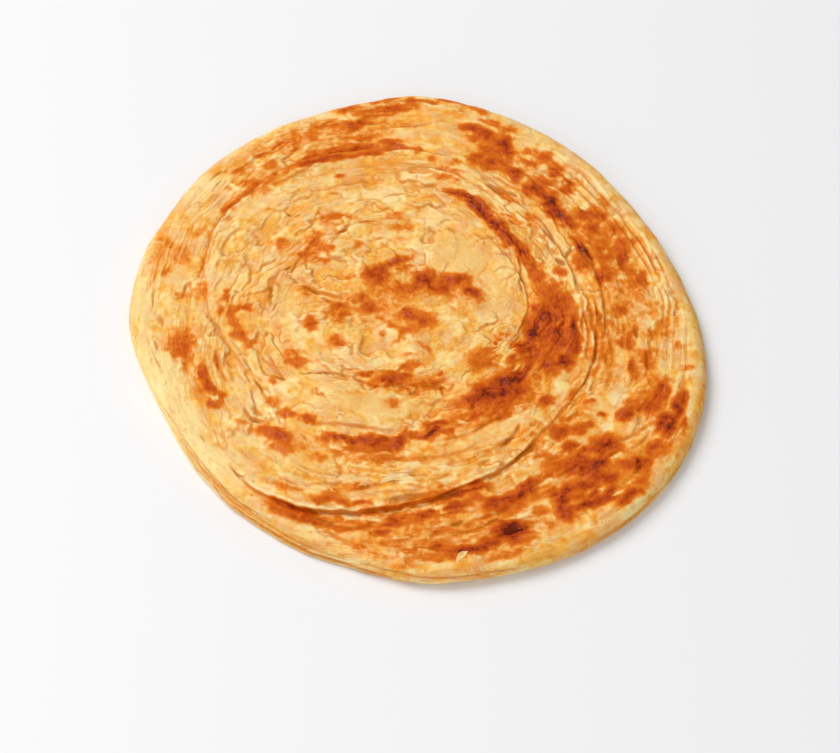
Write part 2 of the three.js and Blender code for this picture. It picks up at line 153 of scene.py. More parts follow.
# Where the griddle has browned the top.
TOAST_MARKS = (
    # The middle.
    (-15, 20.2, 9, 6, 30, 0.85), (-7.5, 25.2, 11, 3.4, 24, 0.84), (-12.5, 17.5, 8, 3.6, 30, 0.8),
    (-3, 14.2, 17, 5.6, 4, 0.64), (1.5, 17.2, 8, 8, 30, 0.83), (3, 20.2, 6, 4, 0, 0.65),
    (7, 13.7, 7, 5, 15, 0.93), (10.5, 17.5, 10, 5, 10, 0.74), (12.5, 17.2, 8, 4, 15, 0.81),
    (17.5, 12.7, 9, 4.5, -48, 0.83), (-17, 6.7, 4, 7, 25, 0.77), (-19, 10.7, 3, 4, 0, 0.6),
    (-27.5, 7.2, 5, 3, -20, 0.65), (-25.5, 2.7, 3.5, 6, 0, 0.65), (-4, 3.2, 4.5, 6.5, 25, 0.85),
    (2, 0.2, 6, 5, 0, 0.79), (-6.5, -4.8, 6, 1.8, 65, 0.55), (-12, -3.8, 2, 4, 0, 0.5),
    (-14, 5.5, 6, 3, 0, 0.5), (-9, -1.5, 14, 2.6, -45, 0.5), (-8, -31, 8, 4, 0, 0.45),
    (-5, 22.5, 6, 2.4, 15, 0.7), (-3, -17, 8, 4, 10, 0.66), (2, -9.8, 6, 2.5, -45, 0.55),
    (-3, -12.8, 5, 3, 0, 0.45), (-27, -7.3, 7, 5, 0, 0.62), (-23, 18.2, 3, 3, 0, 0.55),
    (-17.5, -20.3, 6, 3, 5, 0.75), (-8.5, -22, 11, 4.5, 8, 0.9), (-14, -24, 7, 3, 0, 0.5),
    (7.2, -21.8, 3, 3, 0, 0.65), (21, -13.8, 10, 6, 50, 0.5), (28, -5.8, 6, 3, 0, 0.45),
    (25, -7.8, 1.6, 1.6, 0, 0.95), (-13, 9, 34, 16, 8, 0.4), (0, -25, 24, 7, 0, 0.45),
    (14, 12, 16, 14, 0, 0.36), (3, -24.5, 13, 4, -3, 0.6), (20, -15, 10, 8, 30, 0.6), (-27, 5, 8, 9, 0, 0.5),
    (-1, 2.5, 13, 6, -10, 0.62), (-2, -2.5, 9, 5, 0, 0.6), (30, -14.5, 4, 4, 0, 0.8),
    # The right.
    (44, -2, 15, 26, -8, 0.75), (43, 13, 10, 10, 0, 0.69), (46, 8, 10, 10, 0, 0.78), (41, 3, 6, 9, 20, 0.95),
    (37.5, -4, 5, 8, -25, 0.98), (33.5, -10.5, 4, 6, -30, 0.9), (50.8, -2, 3.4, 12, 0, 0.97),
    (50.3, -10, 5, 8, -10, 0.95), (47.5, -15, 6, 6, -30, 0.93), (45, -5, 8, 9, 0, 0.7),
    (34, -11, 8, 7, 0, 0.6), (41, -16, 5, 7, -30, 0.8), (36, -9, 6, 6, 0, 0.83), (39, -14, 7, 7, 0, 0.73),
    (43, -17.5, 8, 7, 60, 0.76), (68.5, -9, 4, 5, 0, 0.62), (70.5, 22, 4, 6, 0, 0.62),
    (37, -1, 6, 8, 0, 0.85), (68, 26.5, 3.6, 8, 0, 0.88), (63, 22, 6, 8, 0, 0.61), (60, 19, 3, 7, 0, 0.77),
    (74, 19, 4, 6, 0, 0.71), (66, 6, 5, 4, 0, 0.64), (76, 7, 10, 6, 0, 0.4), (68, -5, 4, 8, 0, 0.58),
    (71, -3, 2, 5, 0, 0.8), (66, -8, 3, 4, 0, 0.64), (74, -14, 7, 9, 0, 0.68), (69, -16, 2, 6, 0, 0.74),
    (85, -8, 4, 4, 0, 0.54), (78, -3, 8, 6, 0, 0.48), (87, -17, 4, 3, 0, 0.54), (59.5, 1.5, 1.5, 5, 0, 0.78),
    (66, 14, 5, 3, 0, 0.52), (62, 19, 6, 6, 0, 0.72), (73, 16, 8, 6, 0, 0.62), (69.5, -18, 4, 7, 0, 0.66),
    (76, -22, 6, 6, 0, 0.48), (82, 1, 6, 6, 0, 0.42), (66, 10, 18, 54, 5, 0.36), (47, -8, 16, 28, 10, 0.36),
    (58, -8, 11, 32, 5, 0.44), (78.5, -26, 9, 5.5, 75, 0.86), (74, -27, 8, 4, 0, 0.58),
    (83.5, -32, 12, 4, 72, 0.9), (86, -28, 3, 5, 0, 0.6),
    # The right of the back.
    (30, 53, 10, 3, -45, 0.5), (22.5, 45.2, 12, 4.8, -55, 0.9), (26.2, 40, 12, 5.2, -52, 0.89),
    (31, 33.5, 13, 4.6, -50, 0.87), (35.8, 27, 11, 4.5, -58, 0.75), (38.8, 20.5, 11, 5, -66, 0.71),
    (40, 58, 34, 14, -50, 0.32), (31, 73, 4, 8, 0, 0.8), (38, 68, 8, 3, -20, 0.66), (46, 67, 8, 4, -20, 0.6),
    (30, 66, 8, 4, -30, 0.66), (31, 43, 10, 3, -50, 0.5), (43, 60, 7, 4, -40, 0.7), (38, 73, 8, 3, 0, 0.57),
    (43, 71, 6, 5, 0, 0.71), (47, 64, 5, 5, 0, 0.87), (51, 60, 6, 3, -30, 0.81), (33, 63, 6, 6, 0, 0.91),
    (40, 57, 8, 6, -30, 0.86), (44, 52, 8, 6, -55, 1), (47, 46, 10, 6.2, -50, 1), (50.5, 42.5, 5, 5, 0, 0.85),
    (38, 56, 6, 5, 0, 0.67), (57, 46, 10, 7, 0, 0.77), (63, 51, 7, 2.4, -60, 0.6), (61, 44, 6, 4, 0, 0.81),
    (38, 43, 6, 6, 0, 0.5), (50, 56.5, 6, 5, 0, 0.62), (53, 41, 5, 4, 0, 0.65), (58, 39.5, 6, 5, 0, 0.8),
    (66, 40, 7, 6, 0, 0.65), (55.5, 30, 11, 3.6, -65, 0.98), (62, 30, 8, 10, 0, 0.65),
    (68, 32, 6, 9, 0, 0.71), (73, 34, 5, 4, 0, 0.55), (52, 36, 4, 6, 0, 0.65), (60, 36, 14, 10, 0, 0.5),
    (47, 21, 6, 4, -30, 0.74), (55, 25, 8, 7, -60, 0.74),
    # The back.
    (-6, 34.2, 3, 2, 0, 0.45), (-6, 39.7, 8, 3.6, 0, 0.5), (-9, 45, 7, 3.6, 10, 0.45),
    (11, 64.5, 10, 3, -20, 0.5), (13, 54.2, 9, 4.5, -18, 0.85), (18.5, 50.6, 11, 4.5, -42, 0.88),
    (-25, 83, 50, 13, 12, 0.34), (-20, 80, 12, 4, 10, 0.6), (-22, 86, 12, 4, 15, 0.78),
    (-10, 93.5, 12, 3, 10, 0.78), (-25, 93, 10, 4, 15, 0.66), (-12, 97, 12, 3, 5, 0.6),
    (-2, 96, 6, 5, 0, 0.65), (12, 96.5, 12, 2, -15, 0.65), (-25, 75, 24, 4, 8, 0.7),
    (-10, 77.5, 7, 4, 0, 0.7), (-11, 74.3, 4, 2, 0, 0.88), (0, 74, 3, 3, 0, 0.66), (4, 70, 4, 3, 0, 0.52),
    (-34, 85, 12, 4, 20, 0.45), (20, 93, 10, 4, -20, 0.5), (25, 86, 8, 3, -25, 0.6), (3, 96, 10, 3, -5, 0.6),
    (12, 68, 6, 3, -10, 0.5), (9, 61, 12, 2.6, -14, 0.5), (-12, 92, 22, 4, 5, 0.7), (-6, 75, 10, 3, 0, 0.7),
    (-18, 73, 16, 2.5, 6, 0.8), (17, 84, 6, 3.4, -15, 0.8), (20, 83, 8, 4, -30, 0.77),
    (24, 80.5, 8, 4, -30, 0.83), (29, 77, 6, 8, 0, 0.91), (22, 76, 6, 3, 0, 0.6), (20, 71, 8, 4, 0, 0.67),
    (27, 69, 10, 4, -20, 0.71), (31, 83, 5, 5, 0, 0.6), (20, 79.5, 7, 4, 0, 0.72), (26, 74, 10, 9, -30, 0.68),
    (23, 68.5, 12, 5, -12, 0.7),
    # The left of the back.
    (-20, 32.2, 4, 3, 0, 0.47), (-28, 44.5, 11, 4, 0, 0.56), (-34, 34.2, 5, 9, 15, 0.55),
    (-38.5, 27.7, 6, 4, 0, 0.65), (-31.5, 25.7, 4, 3, 0, 0.6), (-30.5, 30, 4, 4, 0, 0.6),
    (-31, 44, 6, 6, 0, 0.5), (-27, 63.2, 3, 2.5, 0, 0.65), (-36, 31, 9, 12, 0, 0.5), (-46, 33, 8, 5, 0, 0.5),
    (-74, 38, 5, 5, 0, 0.44), (-65, 48, 8, 4, 55, 0.46), (-58, 59, 8, 6, 0, 0.5), (-62, 66, 6, 5, 0, 0.4),
    (-52, 56.5, 10, 4, 40, 0.42), (-55, 73, 8, 5, 30, 0.45), (-45, 77, 14, 7, 25, 0.52),
    (-43, 82, 7, 3, 20, 0.52), (-38, 81, 6, 5, 0, 0.54), (-38, 70.5, 12, 2.5, 22, 0.72),
    (-48, 64, 8, 2, 38, 0.6), (-58, 60, 12, 6, 40, 0.4), (-52, 60, 10, 3.4, 38, 0.58),
    (-66, 49, 9, 2.4, 48, 0.5), (-58, 55, 14, 4, 42, 0.6), (-40, 67, 13, 3.4, 26, 0.8),
    (-51, 67.5, 5, 4, 30, 0.6), (-31, 70, 16, 3.6, 14, 0.86),
    # The left.
    (-35.5, -0.3, 4.5, 5, 0, 0.67), (-37.5, 12.7, 7, 3, -35, 0.55), (-39.5, -15.5, 10, 4, 0, 0.52),
    (-78, -7.5, 11, 12, 0, 0.58), (-77, -8.5, 6, 7, 0, 0.66), (-69.8, -21.5, 12, 3.2, -78, 0.74),
    (-67.5, -26.5, 6, 3.6, -60, 0.76), (-66.5, -14, 10, 1.4, -68, 0.45), (-62, 4, 8, 3, 90, 0.68),
    (-58, 7, 8, 4, 0, 0.69), (-60, -1, 9, 3, 90, 0.63), (-58, -5, 5, 4, 0, 0.63), (-56, -8, 4, 4, 0, 0.6),
    (-64, 12, 3, 5, 0, 0.69), (-66, 6, 6, 2, 90, 0.53), (-42, -12, 6, 4, 0, 0.52), (-85, 22, 3, 5, 0, 0.63),
    (-86, 33, 6, 5, 0, 0.4), (-78, 12, 8, 4, 0, 0.42), (-72, 14, 6, 6, 0, 0.45),
    (-72.5, 24, 8, 2.6, 80, 0.46), (-87, 28, 7, 6, 0, 0.3), (-80, 28, 9, 8, 0, 0.43),
    (-76, -13, 5, 7, 0, 0.45),
    # The left of the front.
    (-47, -30, 6, 5, 0, 0.45), (-45, -43, 11, 4.5, -22, 0.86), (-50, -41, 7, 5, 0, 0.56),
    (-25.5, -44.5, 9, 3.5, -5, 0.96), (-44, -48, 10, 4, -20, 0.56), (-42, -35.5, 6, 3, -20, 0.76),
    (-36, -37.5, 5, 4, 0, 0.82), (-57, -39, 4, 4, 0, 0.5), (-30, -44, 6, 5, 0, 0.48),
    (-23, -50, 12, 4, 0, 0.42), (-32, -52, 6, 4, 0, 0.48), (-40, -47, 10, 4, 0, 0.46),
    (-64, -29, 3, 5, 0, 0.63), (-66, -32.5, 5, 2.4, -20, 0.72), (-47, -22, 3, 3, 0, 0.58),
    # From (-38, -70.5) on, these marks lie in the pocket under the front step and darken it, partly as
    # painted shade.
    (-20, -45, 40, 6, 0, 0.3), (-38, -70.5, 16, 2.2, -17, 0.74), (-33, -73, 9, 2, -22, 0.74),
    (-37, -73, 20, 4.5, -17, 0.64), (-31, -67.8, 8, 2.6, -5, 0.7), (-42, -69, 10, 2.4, -22, 0.62),
    (-28, -66, 8, 3, 0, 0.6), (-42, -71.5, 14, 3, -20, 0.6), (-41, -64, 12, 3, -20, 0.5),
    # The front.
    (6, -43.5, 7, 4, 20, 0.7), (-19, -46, 8, 3, -5, 0.9), (-13, -45.5, 10, 4, 0, 0.9),
    (-7, -46, 5, 6, 0, 0.91), (-15, -48.5, 18, 4.5, -3, 0.7), (6, -39.5, 11, 4, 15, 0.83),
    (4.5, -42.5, 9, 2.6, 30, 0.98), (9, -43, 6, 3, 25, 0.66), (-2, -44, 10, 5, 10, 0.62),
    (-12, -52.5, 24, 4, 2, 0.5), (10, -79, 76, 15, 8, 0.36), (6, -62, 30, 6, 14, 0.3),
    (10, -52, 50, 10, 14, 0.24), (23.5, -68.5, 9, 5, 25, 0.9), (17, -63, 10, 4, 20, 0.84),
    (11, -65, 8, 3.5, 25, 0.88), (20, -63, 6, 3, 0, 0.64), (18, -66.5, 6, 4, 0, 0.72),
    (-2, -74, 12, 6, 10, 0.62), (12, -69.3, 9, 3.4, 15, 0.88), (2.5, -72.5, 9, 3, 0, 0.82),
    (-8, -75, 9, 5, 30, 0.82), (-12, -79, 6, 2, 0, 0.74), (-15, -72, 8, 4, 0, 0.6), (-18, -76, 8, 4, 0, 0.6),
    (29, -77.8, 12, 8, 0, 1), (31, -81.5, 9, 4, 5, 0.72), (21.5, -82.8, 10, 4.4, 20, 0.97),
    (29, -79, 7, 4, 0, 0.98), (27, -86.5, 14, 4, 12, 0.48), (12, -71, 8, 3, 10, 0.62),
    # The mark at (-6, -69) darkens the foot of the front step, partly as painted shade.
    (4, -66, 12, 3, 10, 0.55), (14, -85, 14, 5, 5, 0.9), (-6, -69, 14, 3, 8, 0.56), (6, -84, 6, 4, 0, 0.8),
    (6, -88, 18, 3, 3, 0.58), (6, -78.5, 8, 2, 0, 0.6), (-3, -86, 8, 3, 0, 0.6), (-24, -67.8, 7, 3, 0, 0.6),
    (-20, -63, 8, 3, 0, 0.5), (-18, -69, 8, 2, 0, 0.68), (-24, -74.5, 8, 3, -8, 0.55),
    (8, -67, 16, 3, 15, 0.5), (-4, -90.5, 8, 3, 0, 0.45), (-24, -78, 10, 2, -8, 0.53),
    (-19, -84, 4, 4, 0, 0.5),
    # The right of the front.
    (27, -26, 24, 12, 32, 0.75), (35, -17, 4, 9, -15, 0.88), (49.5, -27, 11, 3.2, 55, 0.52),
    (31, -21.5, 7, 6, 0, 0.93), (28, -23.5, 8, 5, 0, 1), (22, -28, 10, 8, 0, 0.91), (17, -31, 8, 6, 0, 0.93),
    (29, -28, 9, 7, 0, 0.81), (33, -27, 7, 6, 0, 0.68), (25, -33.5, 6, 4, 0, 0.63),
    (18, -36.5, 8, 4, 15, 0.7), (27, -34, 16, 7, 30, 0.6), (41, -30.5, 6.5, 5.5, 0, 0.8),
    (24, -30, 44, 18, 32, 0.42), (60, -54, 48, 26, 38, 0.3), (78, -34, 14, 30, 22, 0.32),
    (44, -40, 34, 14, 38, 0.36), (71, -31, 10, 4, 0, 0.62), (66, -35.3, 6, 4, 20, 0.84),
    (74.5, -32, 9, 5, 5, 0.8), (79.5, -39, 6.5, 9, 0, 0.93), (85, -37, 9, 2, 90, 0.7),
    (75, -47, 6, 5, 50, 0.8), (58.8, -34.7, 2.4, 2.2, 0, 0.95), (55, -30, 5, 2.2, 0, 0.7),
    (54.5, -38.3, 6, 3, 25, 0.78), (45, -42, 6, 6.5, 0, 0.82), (48, -47.5, 6, 3.4, 10, 0.9),
    (42, -51, 8, 3, 0, 0.56), (43, -55.5, 9, 7, 20, 0.68), (52, -61.5, 12, 4, 10, 0.9),
    (55.3, -65, 3, 5, 0, 0.8), (50.5, -65.5, 6, 5, 0, 0.64), (60.5, -63, 3, 6, -20, 0.86),
    (59, -59.3, 9, 4, 10, 0.86), (41, -64.5, 6, 6, 20, 0.72), (70, -60, 7, 5, 30, 0.62),
    (59.5, -46.5, 10, 8, 0, 0.93), (54, -48.5, 6, 3, 0, 0.8), (56.5, -53.5, 9, 5, 20, 1),
    (50, -53.5, 11, 7, 35, 0.88), (55, -57, 12, 5, 0, 0.84), (60, -58, 8, 4, 0, 0.82),
    (68, -53.5, 11, 4.5, 12, 0.9), (45.5, -66.5, 12, 5, 75, 0.95), (79, -47, 8, 4, 50, 0.56),
    (71.5, -55.5, 6, 4, 20, 0.72), (51, -40.5, 6, 4, 40, 0.75), (50, -69.5, 8, 3.6, 10, 0.86),
    (53, -68.5, 8, 4, 15, 1), (46.5, -62.5, 6, 5, 45, 0.84), (43.8, -66.5, 4.4, 7, 0, 0.84),
    (58, -66.5, 7, 3, 25, 0.9), (46.5, -72, 5, 5, 0, 0.9), (66, -65.5, 10, 4, 35, 0.9),
    (62, -56, 12, 8, 20, 0.45), (79, -38, 8, 12, 0, 0.45), (74, -50, 5, 5, 0, 0.65),
    (33.5, -62.8, 10, 4.4, 48, 0.95), (29, -66.5, 8, 5, 25, 0.95), (35, -66, 8, 4, 35, 0.58),
    (38, -71, 5, 4, 0, 0.6), (41, -76, 5, 4, 0, 0.5), (37, -60, 8, 5, 30, 0.5), (30, -70, 12, 5, 30, 0.48),
    (38, -51, 5, 2.5, 40, 0.58), (35, -48, 7, 1.6, 45, 0.7), (60, -66, 16, 3, 35, 0.48),
)

# Where the dough is smooth, amber and full of butter.
BUTTER_MARKS = (
    (14, 28, 26, 16, -45, 0.9), (22, 12, 22, 16, -75, 0.7), (-15, -32, 38, 8, -3, 0.9),
    (12, -29, 16, 6, 25, 0.6), (16, -47, 36, 9, 28, 0.9), (-5, -53, 20, 4, 8, 0.5),
    (-42, -52, 22, 8, -12, 0.6), (45, -20, 6, 9, 0, 0.8), (-44, 10, 8, 16, 0, 0.7), (3, 66, 22, 2.5, -8, 0.8),
    (0, 86, 14, 2.2, 4, 0.9), (25, 57, 8, 2, -50, 0.9), (30, 54.5, 4, 3, -50, 0.8), (-49, 13, 3, 10, 0, 0.9),
    (58, -14, 3, 10, 0, 0.6), (30, -44, 3, 9, -45, 0.8), (-56, -56, 10, 2.5, -45, 0.9),
    (-2, -66, 20, 3, 10, 0.5), (-35, 60, 26, 8, 20, 0.4), (10, 82, 18, 8, -10, 0.4),
    (50, 70, 14, 10, -45, 0.5), (38, -80, 30, 6, 15, 0.6), (64, -71, 18, 8, 40, 0.6),
    (27, -89, 14, 5, 12, 0.7), (57, -31, 10, 8, 0, 0.5), (90, -12, 5, 26, 0, 0.6), (44, 40, 3, 14, 25, 0.7),
    (48, 26, 3, 8, 20, 0.7), (38, 78, 10, 7, -40, 0.5), (-8, 45, 12, 4, 10, 0.4),
)

# Where it is palest: the smooth rope at the left and front, dry flour and thin flakes.
PALE_MARKS = (
    (-83, -20, 15, 34, 20, 0.9), (-92, 12, 8, 34, 0, 0.7), (-76, -38, 16, 22, 35, 0.9),
    (-66, -52, 10, 24, 42, 0.9), (-57, -59, 18, 6, -42, 0.6), (-10, 52, 8, 4, 0, 0.9), (63, -28, 5, 4, 60, 1),
    (60, -39.5, 5, 4, 20, 1), (66.5, -44, 8, 2, 25, 0.9), (-22, -73, 5, 4, 0, 0.8), (-31, 6, 5, 4, 0, 0.6),
    (13.5, -87, 5, 1.6, 45, 1), (-4, -61, 8, 4, 10, 0.9), (-5, 82, 12, 3, 10, 0.6), (10, -91, 20, 3, 6, 0.4),
    (-32, -79, 26, 4, -22, 0.7), (-28, -64.5, 6, 2.5, 0, 0.7), (-20, -85, 20, 4, -8, 0.5),
    (68, 52, 3, 18, 25, 0.7), (75, 44, 2, 18, 22, 0.7), (82, 14, 4, 18, 8, 0.5), (86, 0, 3, 14, 0, 0.4),
    (40, -66, 5, 6, 0, 0.7), (47, -47, 4, 3, 40, 0.6), (68, -40, 14, 5, 20, 0.6), (43, -38, 5, 5, 30, 0.5),
    (-27, -48, 5, 3, 0, 0.6), (-18, -42, 8, 2, 0, 0.5), (-30, -30, 18, 8, 0, 0.4),
    (-60, -44, 14, 8, -40, 0.5), (28, 22, 6, 16, 30, 0.5), (35, 22, 2, 10, 20, 0.7), (-68, 21, 6, 5, 0, 0.5),
    (-28, -12, 14, 6, 0, 0.4), (5, -69, 7, 2.5, 0, 0.5), (9, -60.5, 9, 4, 14, 0.8),
    (-13, -15.5, 9, 5, 10, 0.9), (-24, -26, 12, 4, 0, 0.6), (-14, -41, 10, 3, 0, 0.8),
    (-58, -51, 10, 4, -45, 0.7), (-33, -65, 8, 2, -10, 0.7), (62.5, -50.5, 8, 2, 35, 0.85),
    (57.3, -63.2, 2.6, 2.4, 0, 0.74), (31.5, -18, 7, 1.3, 48, 0.8), (33.7, -17.5, 6, 1.1, 62, 0.75),
    (45.5, -25, 6, 7, 0, 0.7), (11, -33.5, 4, 3, 0, 0.5), (31, -73, 8, 3, 20, 0.75),
    (40, -60, 12, 2.6, 35, 0.75), (36, -70, 10, 4, 30, 0.6), (62.5, -64.5, 6, 2, 30, 0.8),
    (60, 51, 5, 4, -40, 0.7), (73, 42, 3, 6, 20, 0.7), (5, 41, 10, 5, 0, 0.7), (0, 68.5, 12, 2, -4, 0.8),
    (49, 70, 6, 4, -30, 0.7), (62.5, 30, 4, 4, 0, 0.7), (39.5, 23.5, 3, 5, 30, 0.6), (-6, 29, 6, 3, 0, 0.6),
    (-47, -7, 8, 5, 0, 0.6), (18.5, 54.8, 7, 4, -30, 0.9), (56, 49, 6, 4, -50, 0.9), (40, 22, 3, 4, 0, 0.6),
    (31.5, -20.5, 4, 2.4, 50, 0.5), (67.5, 41, 3, 6, 20, 0.6), (50.5, 27, 3, 4, 0, 0.7),
    (-36, 15.5, 5, 3, 0, 0.5), (15, 5.5, 5, 3, 0, 0.5), (-57, 70.5, 6, 3, 30, 0.6),
    (-51.5, -37, 8, 5, -30, 0.6), (-37, 44, 5, 3, 0, 0.5), (-65.5, -29.5, 3, 3, 0, 0.8),
    (46, 64.5, 6, 3, -30, 0.6), (33, 48, 6, 3, -45, 0.6), (-74, 56, 8, 20, -38, 0.8), (52, 10, 3, 8, 5, 0.8),
    (20, 62, 6, 1.5, -45, 0.6), (38, 77, 8, 3, -35, 0.4), (-60, -9, 14, 1.5, -55, 0.7),
    (-58, -22, 6, 8, 0, 0.4), (54, 12, 2, 14, 12, 0.5), (-66, -43, 12, 10, 0, 0.4),
)

# Broad zones that the griddle's heat has turned orange, speckled rather than browned.
BLUSH_MARKS = (
    (-80, 15, 16, 56, 8, 0.6), (-58, 55, 26, 9, 46, 0.75), (-28, 86, 60, 14, 14, 0.95),
    (72, -8, 18, 40, 0, 0.85), (64, 30, 20, 34, 10, 0.75), (62, -50, 44, 28, 38, 0.95),
    (12, -75, 80, 18, 8, 0.85), (-40, -69, 34, 7, -18, 0.95), (-60, 0, 16, 20, 0, 0.5),
    (-40, -43, 34, 9, -12, 0.65), (-4, -45, 40, 10, 5, 0.7), (24, 76, 34, 20, -25, 0.8),
    (-28, 76, 44, 7, 10, 0.85), (-12, 14, 30, 18, 10, 0.65), (42, 4, 26, 44, 8, 0.85),
    (26, -28, 32, 18, 32, 0.8), (-36, 33, 16, 18, 0, 0.6), (26, 40, 36, 9, -52, 0.7),
    (-78, -8, 16, 18, 0, 0.55), (45, 60, 24, 16, -50, 0.8), (80, -34, 18, 32, 20, 0.85),
    (-4, 94, 44, 7, 0, 0.85), (-46, -10, 18, 8, -10, 0.45), (56, -8, 14, 44, 6, 0.55),
    (44, -36, 36, 14, 35, 0.55), (-6, -20, 30, 7, 0, 0.5), (-24, -82, 26, 5, -8, 0.6),
    (8, -60, 24, 6, 14, 0.5), (64, -72, 24, 8, 40, 0.75), (-55, -56, 12, 5, -42, 0.6),
    (80, -56, 20, 6, 55, 0.5), (44, -84, 26, 6, 20, 0.5),
)

# Where the turn's thin layers show as close pleats along the coil.
PLEAT_MARKS = (
    (80, 30, 16, 60, 14, 1), (66, 58, 16, 40, 42, 1), (84, -2, 12, 50, 0, 0.8), (58, 0, 10, 46, 0, 1),
    (66, -8, 8, 34, 0, 0.6), (48, 56, 8, 40, 42, 0.5), (30, 62, 30, 8, -42, 0.6), (-28, 66, 40, 12, 14, 0.35),
    (76, -40, 14, 20, 35, 0.5), (-20, -58, 44, 8, 0, 0.6), (14, -80, 50, 12, 10, 0.5),
    (-66, -18, 10, 40, 15, 0.4),
)

# Short open gaps between the layers, sunk a little into the top and coloured oily and dark, partly as painted
# shade.
CREVICE_MARKS = (
    # The middle.
    (-31, 9.5, 6, 1.4, -25, 0.7), (4, -25, 9, 2.6, -5, 0.5), (-2, -27.5, 4, 1.5, 30, 0.8),
    (15, -20.5, 8, 1.3, 50, 0.6), (-8, -25.2, 14, 1.2, 4, 0.5), (20, -17, 8, 1.4, 15, 0.5),
    (24.5, -10, 5, 1.3, 40, 0.5),
    # The right.
    (79, 27.2, 1.8, 1.6, 0, 0.9), (59, 19, 6, 1.2, -75, 0.7), (66, 17, 4, 1.4, -80, 0.5),
    (54, -22, 11, 1.3, 70, 0.7), (54.5, -12, 8, 1.3, 97, 0.6), (57.5, -13, 6, 1.3, 95, 0.7),
    (60.5, -14, 6, 1.3, 95, 0.7), (62.5, -12, 6, 1.3, 92, 0.5), (59, 2, 8, 1.4, 96, 0.8),
    (57, 3, 6, 1.3, 98, 0.6), (61, -3, 5, 1.3, 95, 0.5), (55.5, 1, 7, 1.3, 97, 0.5),
    (57, -6, 5, 1.3, 95, 0.6), (71, -3.5, 7, 1.6, 95, 0.8), (69.5, -17, 5, 1.6, 95, 0.8),
    # The right of the back.
    (26, 56.5, 9, 1.8, -42, 0.85), (32, 54.5, 6, 1.8, -42, 0.7), (43, 36, 10, 1.4, -58, 0.8),
    (47, 25, 6, 2.2, -50, 0.9), (34, 18, 6, 1.3, -58, 0.8), (37, 45, 5, 1.2, -45, 0.5),
    (40, 42, 6, 1.2, -50, 0.5), (20, 36, 9, 1.2, -38, 0.4), (73.5, 36.5, 1.8, 1.8, 0, 0.9),
    (56, 27, 9, 1.4, -62, 0.7),
    # The back.
    (-2, 85, 14, 1.8, 3, 0.6), (-12, 83, 6, 1.2, 10, 0.5), (-1, 61.5, 5, 1.4, 65, 0.5),
    (3, 65.5, 20, 1.7, -8, 0.55), (22, 60.5, 5, 1.2, -35, 0.5),
    # The left of the back.
    (-57, 55, 12, 1.8, 46, 0.9), (-66.5, 44.5, 7, 1.5, 52, 0.8), (-49, 62, 4, 1.5, 40, 0.6),
    (-62, 50.5, 6, 1.6, 46, 0.7), (-44.5, 45.6, 3, 1.4, -35, 0.8), (-41.5, 44.8, 4, 1.4, 12, 0.7),
    (-32, 56.3, 14, 1.2, 5, 0.4), (-42, 18, 7, 1.3, -45, 0.7), (-44, 22.5, 3.6, 1.5, 30, 0.9),
    (-25.5, 37.5, 4.5, 2.2, 40, 0.9), (-29, 34.5, 3, 1.3, 50, 0.6),
    # The left.
    (-49.2, 13, 2.2, 8, 0, 0.9), (-36, 13.5, 9, 1.7, -30, 0.9), (-66.5, 0, 11, 1.3, -50, 0.7),
    (-60, -9, 10, 1.3, -56, 0.6), (-56, -16, 9, 1.3, -60, 0.6), (-66, -14, 11, 1.3, -80, 0.6),
    (-50, -4, 1.6, 4, 0, 0.6),
    # The left of the front.
    (-52, -24, 9, 1.4, -58, 0.7), (-48, -31, 5, 1.2, -55, 0.6), (-45, -21.5, 5, 1.5, -25, 0.8),
    (-34, -20, 14, 1.3, 0, 0.7), (-55.5, -34, 7, 1.3, -45, 0.5), (-53.5, -37, 6, 1.3, -20, 0.7),
    (-36.5, -44.5, 6, 1.3, -50, 0.5), (-57, -58, 8, 1.1, -38, 0.65), (-52, -61, 3, 1.2, -20, 0.5),
    (-45, -62, 8, 1.2, -12, 0.4), (-36, -61.5, 2, 1.5, 0, 0.6), (-53, -65.8, 2, 1.4, 0, 0.6),
    (-38, -78.5, 10, 1.4, -27, 0.6), (-33, -71.6, 6, 1.2, -20, 0.5),
    # The front.
    (-2, -40.5, 2.5, 1.3, 0, 0.5), (-4, -67, 16, 3, 8, 0.7), (8, -65.5, 12, 2, 18, 0.6),
    (-16, -62.8, 12, 1.3, 15, 0.7), (-14, -65.3, 12, 1.2, 15, 0.5), (-30, -83, 12, 1.4, -27, 0.6),
    (-30, -74.6, 10, 1.3, -18, 0.7), (12, -76, 6, 1.6, 18, 0.8), (22.5, -75.5, 8, 1.6, 35, 0.8),
    (17, -78.5, 8, 1.2, 15, 0.4),
    # The right of the front.
    (33, -50.3, 15, 2.1, 42, 0.95), (28, -46, 8, 1.8, 42, 0.8), (36, -40, 8, 1.3, 50, 0.5),
)
CREVICE_DEPTH = 0.32

# Thin flakes that lie loose on the top: x, y, length, width, turn in degrees and how far the free side curls.
FLAKES = (
    (63, -29.3, 5, 3.4, 78, 0.4), (13.3, -87.8, 5.4, 1.5, 50, 0.4), (-7, -61, 11, 2, 10, 0.5),
    (-10, 51.4, 6, 2.4, 5, 0.2),
)
FLAKE_THICKNESS = 0.3
FLAKE_BOW = 0.1  # how far a flake is bent sideways, as a share of its length

# ---------------------------------------------------------------- the bread's form

# The rim.
RIM_WAVER = 0.45  # how far its outline wavers in and out
RIM_BELLY = 0.44  # height of its widest part, as a share of the rope's height
RIM_SQUARENESS = 0.85  # 1 is an ellipse, and pressed dough is a little squarer
TOP_ROUNDING = 5.2
BOTTOM_ROUNDING = 3.4
NARROW_ROPE = (1.8, 234, 44)  # where the rope is narrowest: how much less rounding, middle and half-width

# Gaps between the layers of the rim's side: height, depth, and the middle and half-width of the stretch.
SIDE_GAPS = (
    (2.5, 1.9, 232, 36), (4.7, 1.3, 216, 24), (3.0, 1.1, 20, 50), (4.8, 0.8, 28, 40), (3.4, 0.5, 318, 30),
    (2.8, 0.9, 130, 46), (4.6, 0.6, 275, 24), (2.2, 0.6, 180, 30),
)
SIDE_GAP_WIDTH = 0.45

